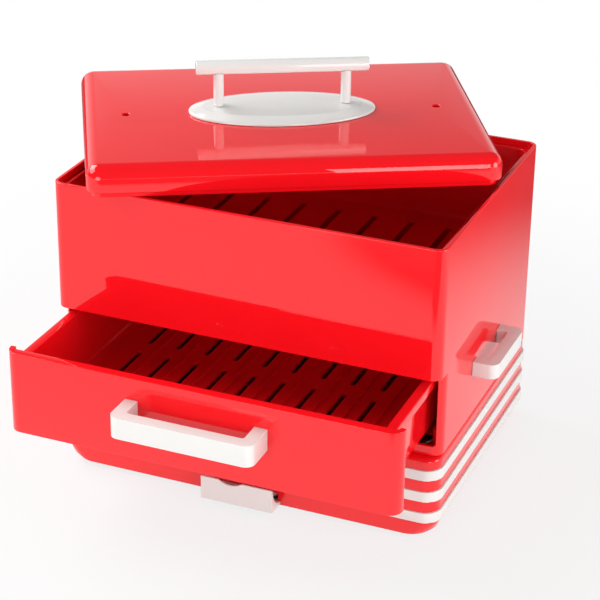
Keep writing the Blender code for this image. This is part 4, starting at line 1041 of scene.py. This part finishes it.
def screws():
    pattern = screwPattern()
    shank, root = screw["shank"], screw["root"]
    carriers = dict(drawer=drawerPlace, lid=lidPlace)
    for node, seat, direction, length in screwJobs():
        bm = pattern.copy()
        profile = [(0, -root), (shank, -root), (shank, length - shank), (shank / 2, length), (0, length)]
        addTurned(bm, profile, steps=24)
        bmesh.ops.transform(bm, matrix=facing(*seat, direction), verts=bm.verts)
        first = node.split("_")[0]
        carrier = first if first in carriers else "body"
        place = carriers.get(first, bodyPlace)
        addPiece(pieceName(node), bm, place, "screw_steel", carrier, node, edge=0.08)
    pattern.free()


screws()
print("hot dog maker: screws made")


# Nodes whose CAD shape is right and that only need their finish

def dress(material, *nodes):
    for node in nodes:
        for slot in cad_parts[node].material_slots:
            slot.material = material


dress(innerRedAbs, "drawer_rail_left", "drawer_rail_right")
dress(blackAbs, "base_cover", "terminal_block")
dress(stainless, "heating_element", "thermostat")
dress(sleeve, "switch_lead_outer", "switch_lead_inner")
print("hot dog maker: CAD nodes dressed")


# Camera, floor and light

view = dict(
    spot=(589.0, -1324.5, 890.6), yaw=0.3859, pitch=0.4521, roll=0.0140, focalPixels=2003.96, framePixels=600,
    sensor=36,
)
# Places and distances in metres
studio = dict(
    # The second floor colour is painted shade, which only reflections show, and the spot with its near and
    # far distances puts that painted shade below the camera
    floorHalf=6, floor="#E0E0E0", paintedShadeFloor="#6C6C6C", rearFrom=0.1, rearTo=0.7,
    shadeSpot=(0.6, -1.4, 0), shadeNear=0.78, shadeFar=0.98,
    glow=0.78, farGlow=1.0, glowFrom=0.3, glowTo=0.75, whiteLevel=1.0,
    fadeLow=0.06, fadeHigh=0.56, ceilingSeen=0.12, ceilingFill=0.35, turn=0.3, roomSeen=0.12,
)
# Where each lamp hangs, what it points at, its size in metres and its power in watts
lights = dict(
    leftLight=dict(spot=(-1.1, -0.45, 1.05), target=(-0.3, -0.3, 0.05), width=0.85, height=0.85, power=9),
    rearLight=dict(spot=(-1.1, 0.3, 1.1), target=(-0.1, 0.1, 0.2), width=0.8, height=0.8, power=11.5),
    sideLight=dict(spot=(1.4, -0.1, 0.42), target=(0.1, 0.12, 0.12), width=0.7, height=0.7, power=8.0),
    bandLight=dict(spot=(1.11, -1.12, 0.45), target=(0.14, 0, 0.25), width=0.37, height=0.82, power=4.0),
    lowLight=dict(spot=(0.0, -1.2, 0.3), target=(0.06, -0.2, 0.02), width=0.6, height=0.5, power=3.4),
)


def makeCamera():
    camera = bpy.data.cameras.new("camera")
    camera.sensor_width = view["sensor"]
    camera.lens = view["focalPixels"] * view["sensor"] / view["framePixels"]
    holder = bpy.data.objects.new("camera", camera)
    bpy.context.scene.collection.objects.link(holder)
    aim = (
        Matrix.Rotation(view["yaw"], 4, "Z")
        @ Matrix.Rotation(math.radians(90) - view["pitch"], 4, "X")
        @ Matrix.Rotation(view["roll"], 4, "Z")
    )
    spot = bodyPlace @ Vector(view["spot"])
    holder.matrix_world = Matrix.Translation(spot) @ aim
    bpy.context.scene.camera = holder


def softbox(name, spot, target, width, height, power):
    light = bpy.data.lights.new(name, "AREA")
    light.energy = power
    light.shape = "RECTANGLE"
    light.size = width
    light.size_y = height
    holder = bpy.data.objects.new(name, light)
    bpy.context.scene.collection.objects.link(holder)
    holder.location = spot
    holder.rotation_euler = (Vector(target) - Vector(spot)).to_track_quat("-Z", "Y").to_euler()
    holder.visible_camera = False


def combine(tree, operation, first, second):
    return addNode(tree, "ShaderNodeMath", {0: first, 1: second}, operation=operation).outputs[0]


def remap(tree, value, span, ends, interpolation="SMOOTHSTEP"):
    # Takes the span of the value to the two ends, each a number or a socket
    node = addNode(tree, "ShaderNodeMapRange", {
        "Value": value, "From Min": span[0], "From Max": span[1], "To Min": ends[0], "To Max": ends[1],
    }, interpolation_type=interpolation)
    return node.outputs["Result"]


def seenBy(tree):
    # Two sockets: 1 for what the camera sees, and 1 for what a reflection or a lens shows
    path = addNode(tree, "ShaderNodeLightPath", {}).outputs
    return path["Is Camera Ray"], combine(tree, "MAXIMUM", path["Is Glossy Ray"], path["Is Transmission Ray"])


def makeFloor():
    bm = bmesh.new()
    bmesh.ops.create_grid(bm, x_segments=1, y_segments=1, size=studio["floorHalf"])
    mesh = bpy.data.meshes.new("floor")
    bm.to_mesh(mesh)
    bm.free()
    floor = bpy.data.objects.new("floor", mesh)
    bpy.context.scene.collection.objects.link(floor)
    paper, tree, shader = newMaterial("palePaperSweep", Roughness=0.95, Specular_IOR_Level=0.0)
    camera, mirrored = seenBy(tree)
    place = objectSpot(tree)

    # In reflections the paper has painted shade: a dark grey behind the object and below the camera
    along = addNode(tree, "ShaderNodeSeparateXYZ", {"Vector": place}).outputs["Y"]
    rear = remap(tree, along, (studio["rearFrom"], studio["rearTo"]), (0, mirrored))
    apart = addNode(tree, "ShaderNodeVectorMath", {0: place, 1: studio["shadeSpot"]}, operation="DISTANCE")
    # Painted shade below the camera: the grey within the near distance of the spot, fading out by the far one
    shadeBelowCamera = remap(tree, apart.outputs["Value"], (studio["shadeNear"], studio["shadeFar"]), (mirrored, 0))
    paintedShade = combine(tree, "MAXIMUM", rear, shadeBelowCamera)
    tint = mixColours(tree, paintedShade, studio["floor"], studio["paintedShadeFloor"])
    tree.links.new(tint, shader.inputs["Base Color"])

    # The camera and the reflections see the paper turn white away from the object's shadow
    away = addNode(tree, "ShaderNodeVectorMath", {0: place}, operation="LENGTH").outputs["Value"]
    glow = remap(tree, away, (studio["glowFrom"], studio["glowTo"]), (studio["glow"], studio["farGlow"]))
    # Where the painted shade lies, reflections see the grey paper instead of the white glow
    bright = combine(tree, "SUBTRACT", mirrored, paintedShade)
    share = combine(tree, "MULTIPLY", combine(tree, "MAXIMUM", camera, bright), glow)
    white = addNode(tree, "ShaderNodeEmission", {"Strength": studio["whiteLevel"]})
    mixed = addNode(tree, "ShaderNodeMixShader", {0: share, 1: shader.outputs[0], 2: white.outputs[0]})
    tree.links.new(mixed.outputs[0], tree.nodes["Material Output"].inputs["Surface"])
    mesh.materials.append(paper)


def makeWorld():
    # A pale backdrop that fades into a dark ceiling, and in reflections a dark room behind the camera
    world = bpy.data.worlds.new("studio")
    bpy.context.scene.world = world
    world.use_nodes = True
    tree = world.node_tree
    toward = addNode(tree, "ShaderNodeTexCoord", {}).outputs["Generated"]
    split = addNode(tree, "ShaderNodeSeparateXYZ", {"Vector": toward}).outputs
    mirrored = seenBy(tree)[1]
    turn, fade = studio["turn"], (studio["fadeLow"], studio["fadeHigh"])
    ceiling = remap(tree, mirrored, (0, 1), (studio["ceilingFill"], studio["ceilingSeen"]), "LINEAR")
    behind = remap(tree, split["Y"], (-turn, turn), (studio["roomSeen"], 1))
    wall = addNode(tree, "ShaderNodeMix", {"Factor": mirrored, "A": 1, "B": behind}, data_type="FLOAT")
    background = tree.nodes["Background"]
    background.inputs["Color"].default_value = (1, 1, 1, 1)
    strength = remap(tree, split["Z"], fade, (wall.outputs["Result"], ceiling))
    tree.links.new(strength, background.inputs["Strength"])


makeCamera()
makeFloor()
makeWorld()
for name, sizes in lights.items():
    softbox(name, **sizes)
bpy.context.scene.view_settings.view_transform = "Standard"
print("hot dog maker: scene made")
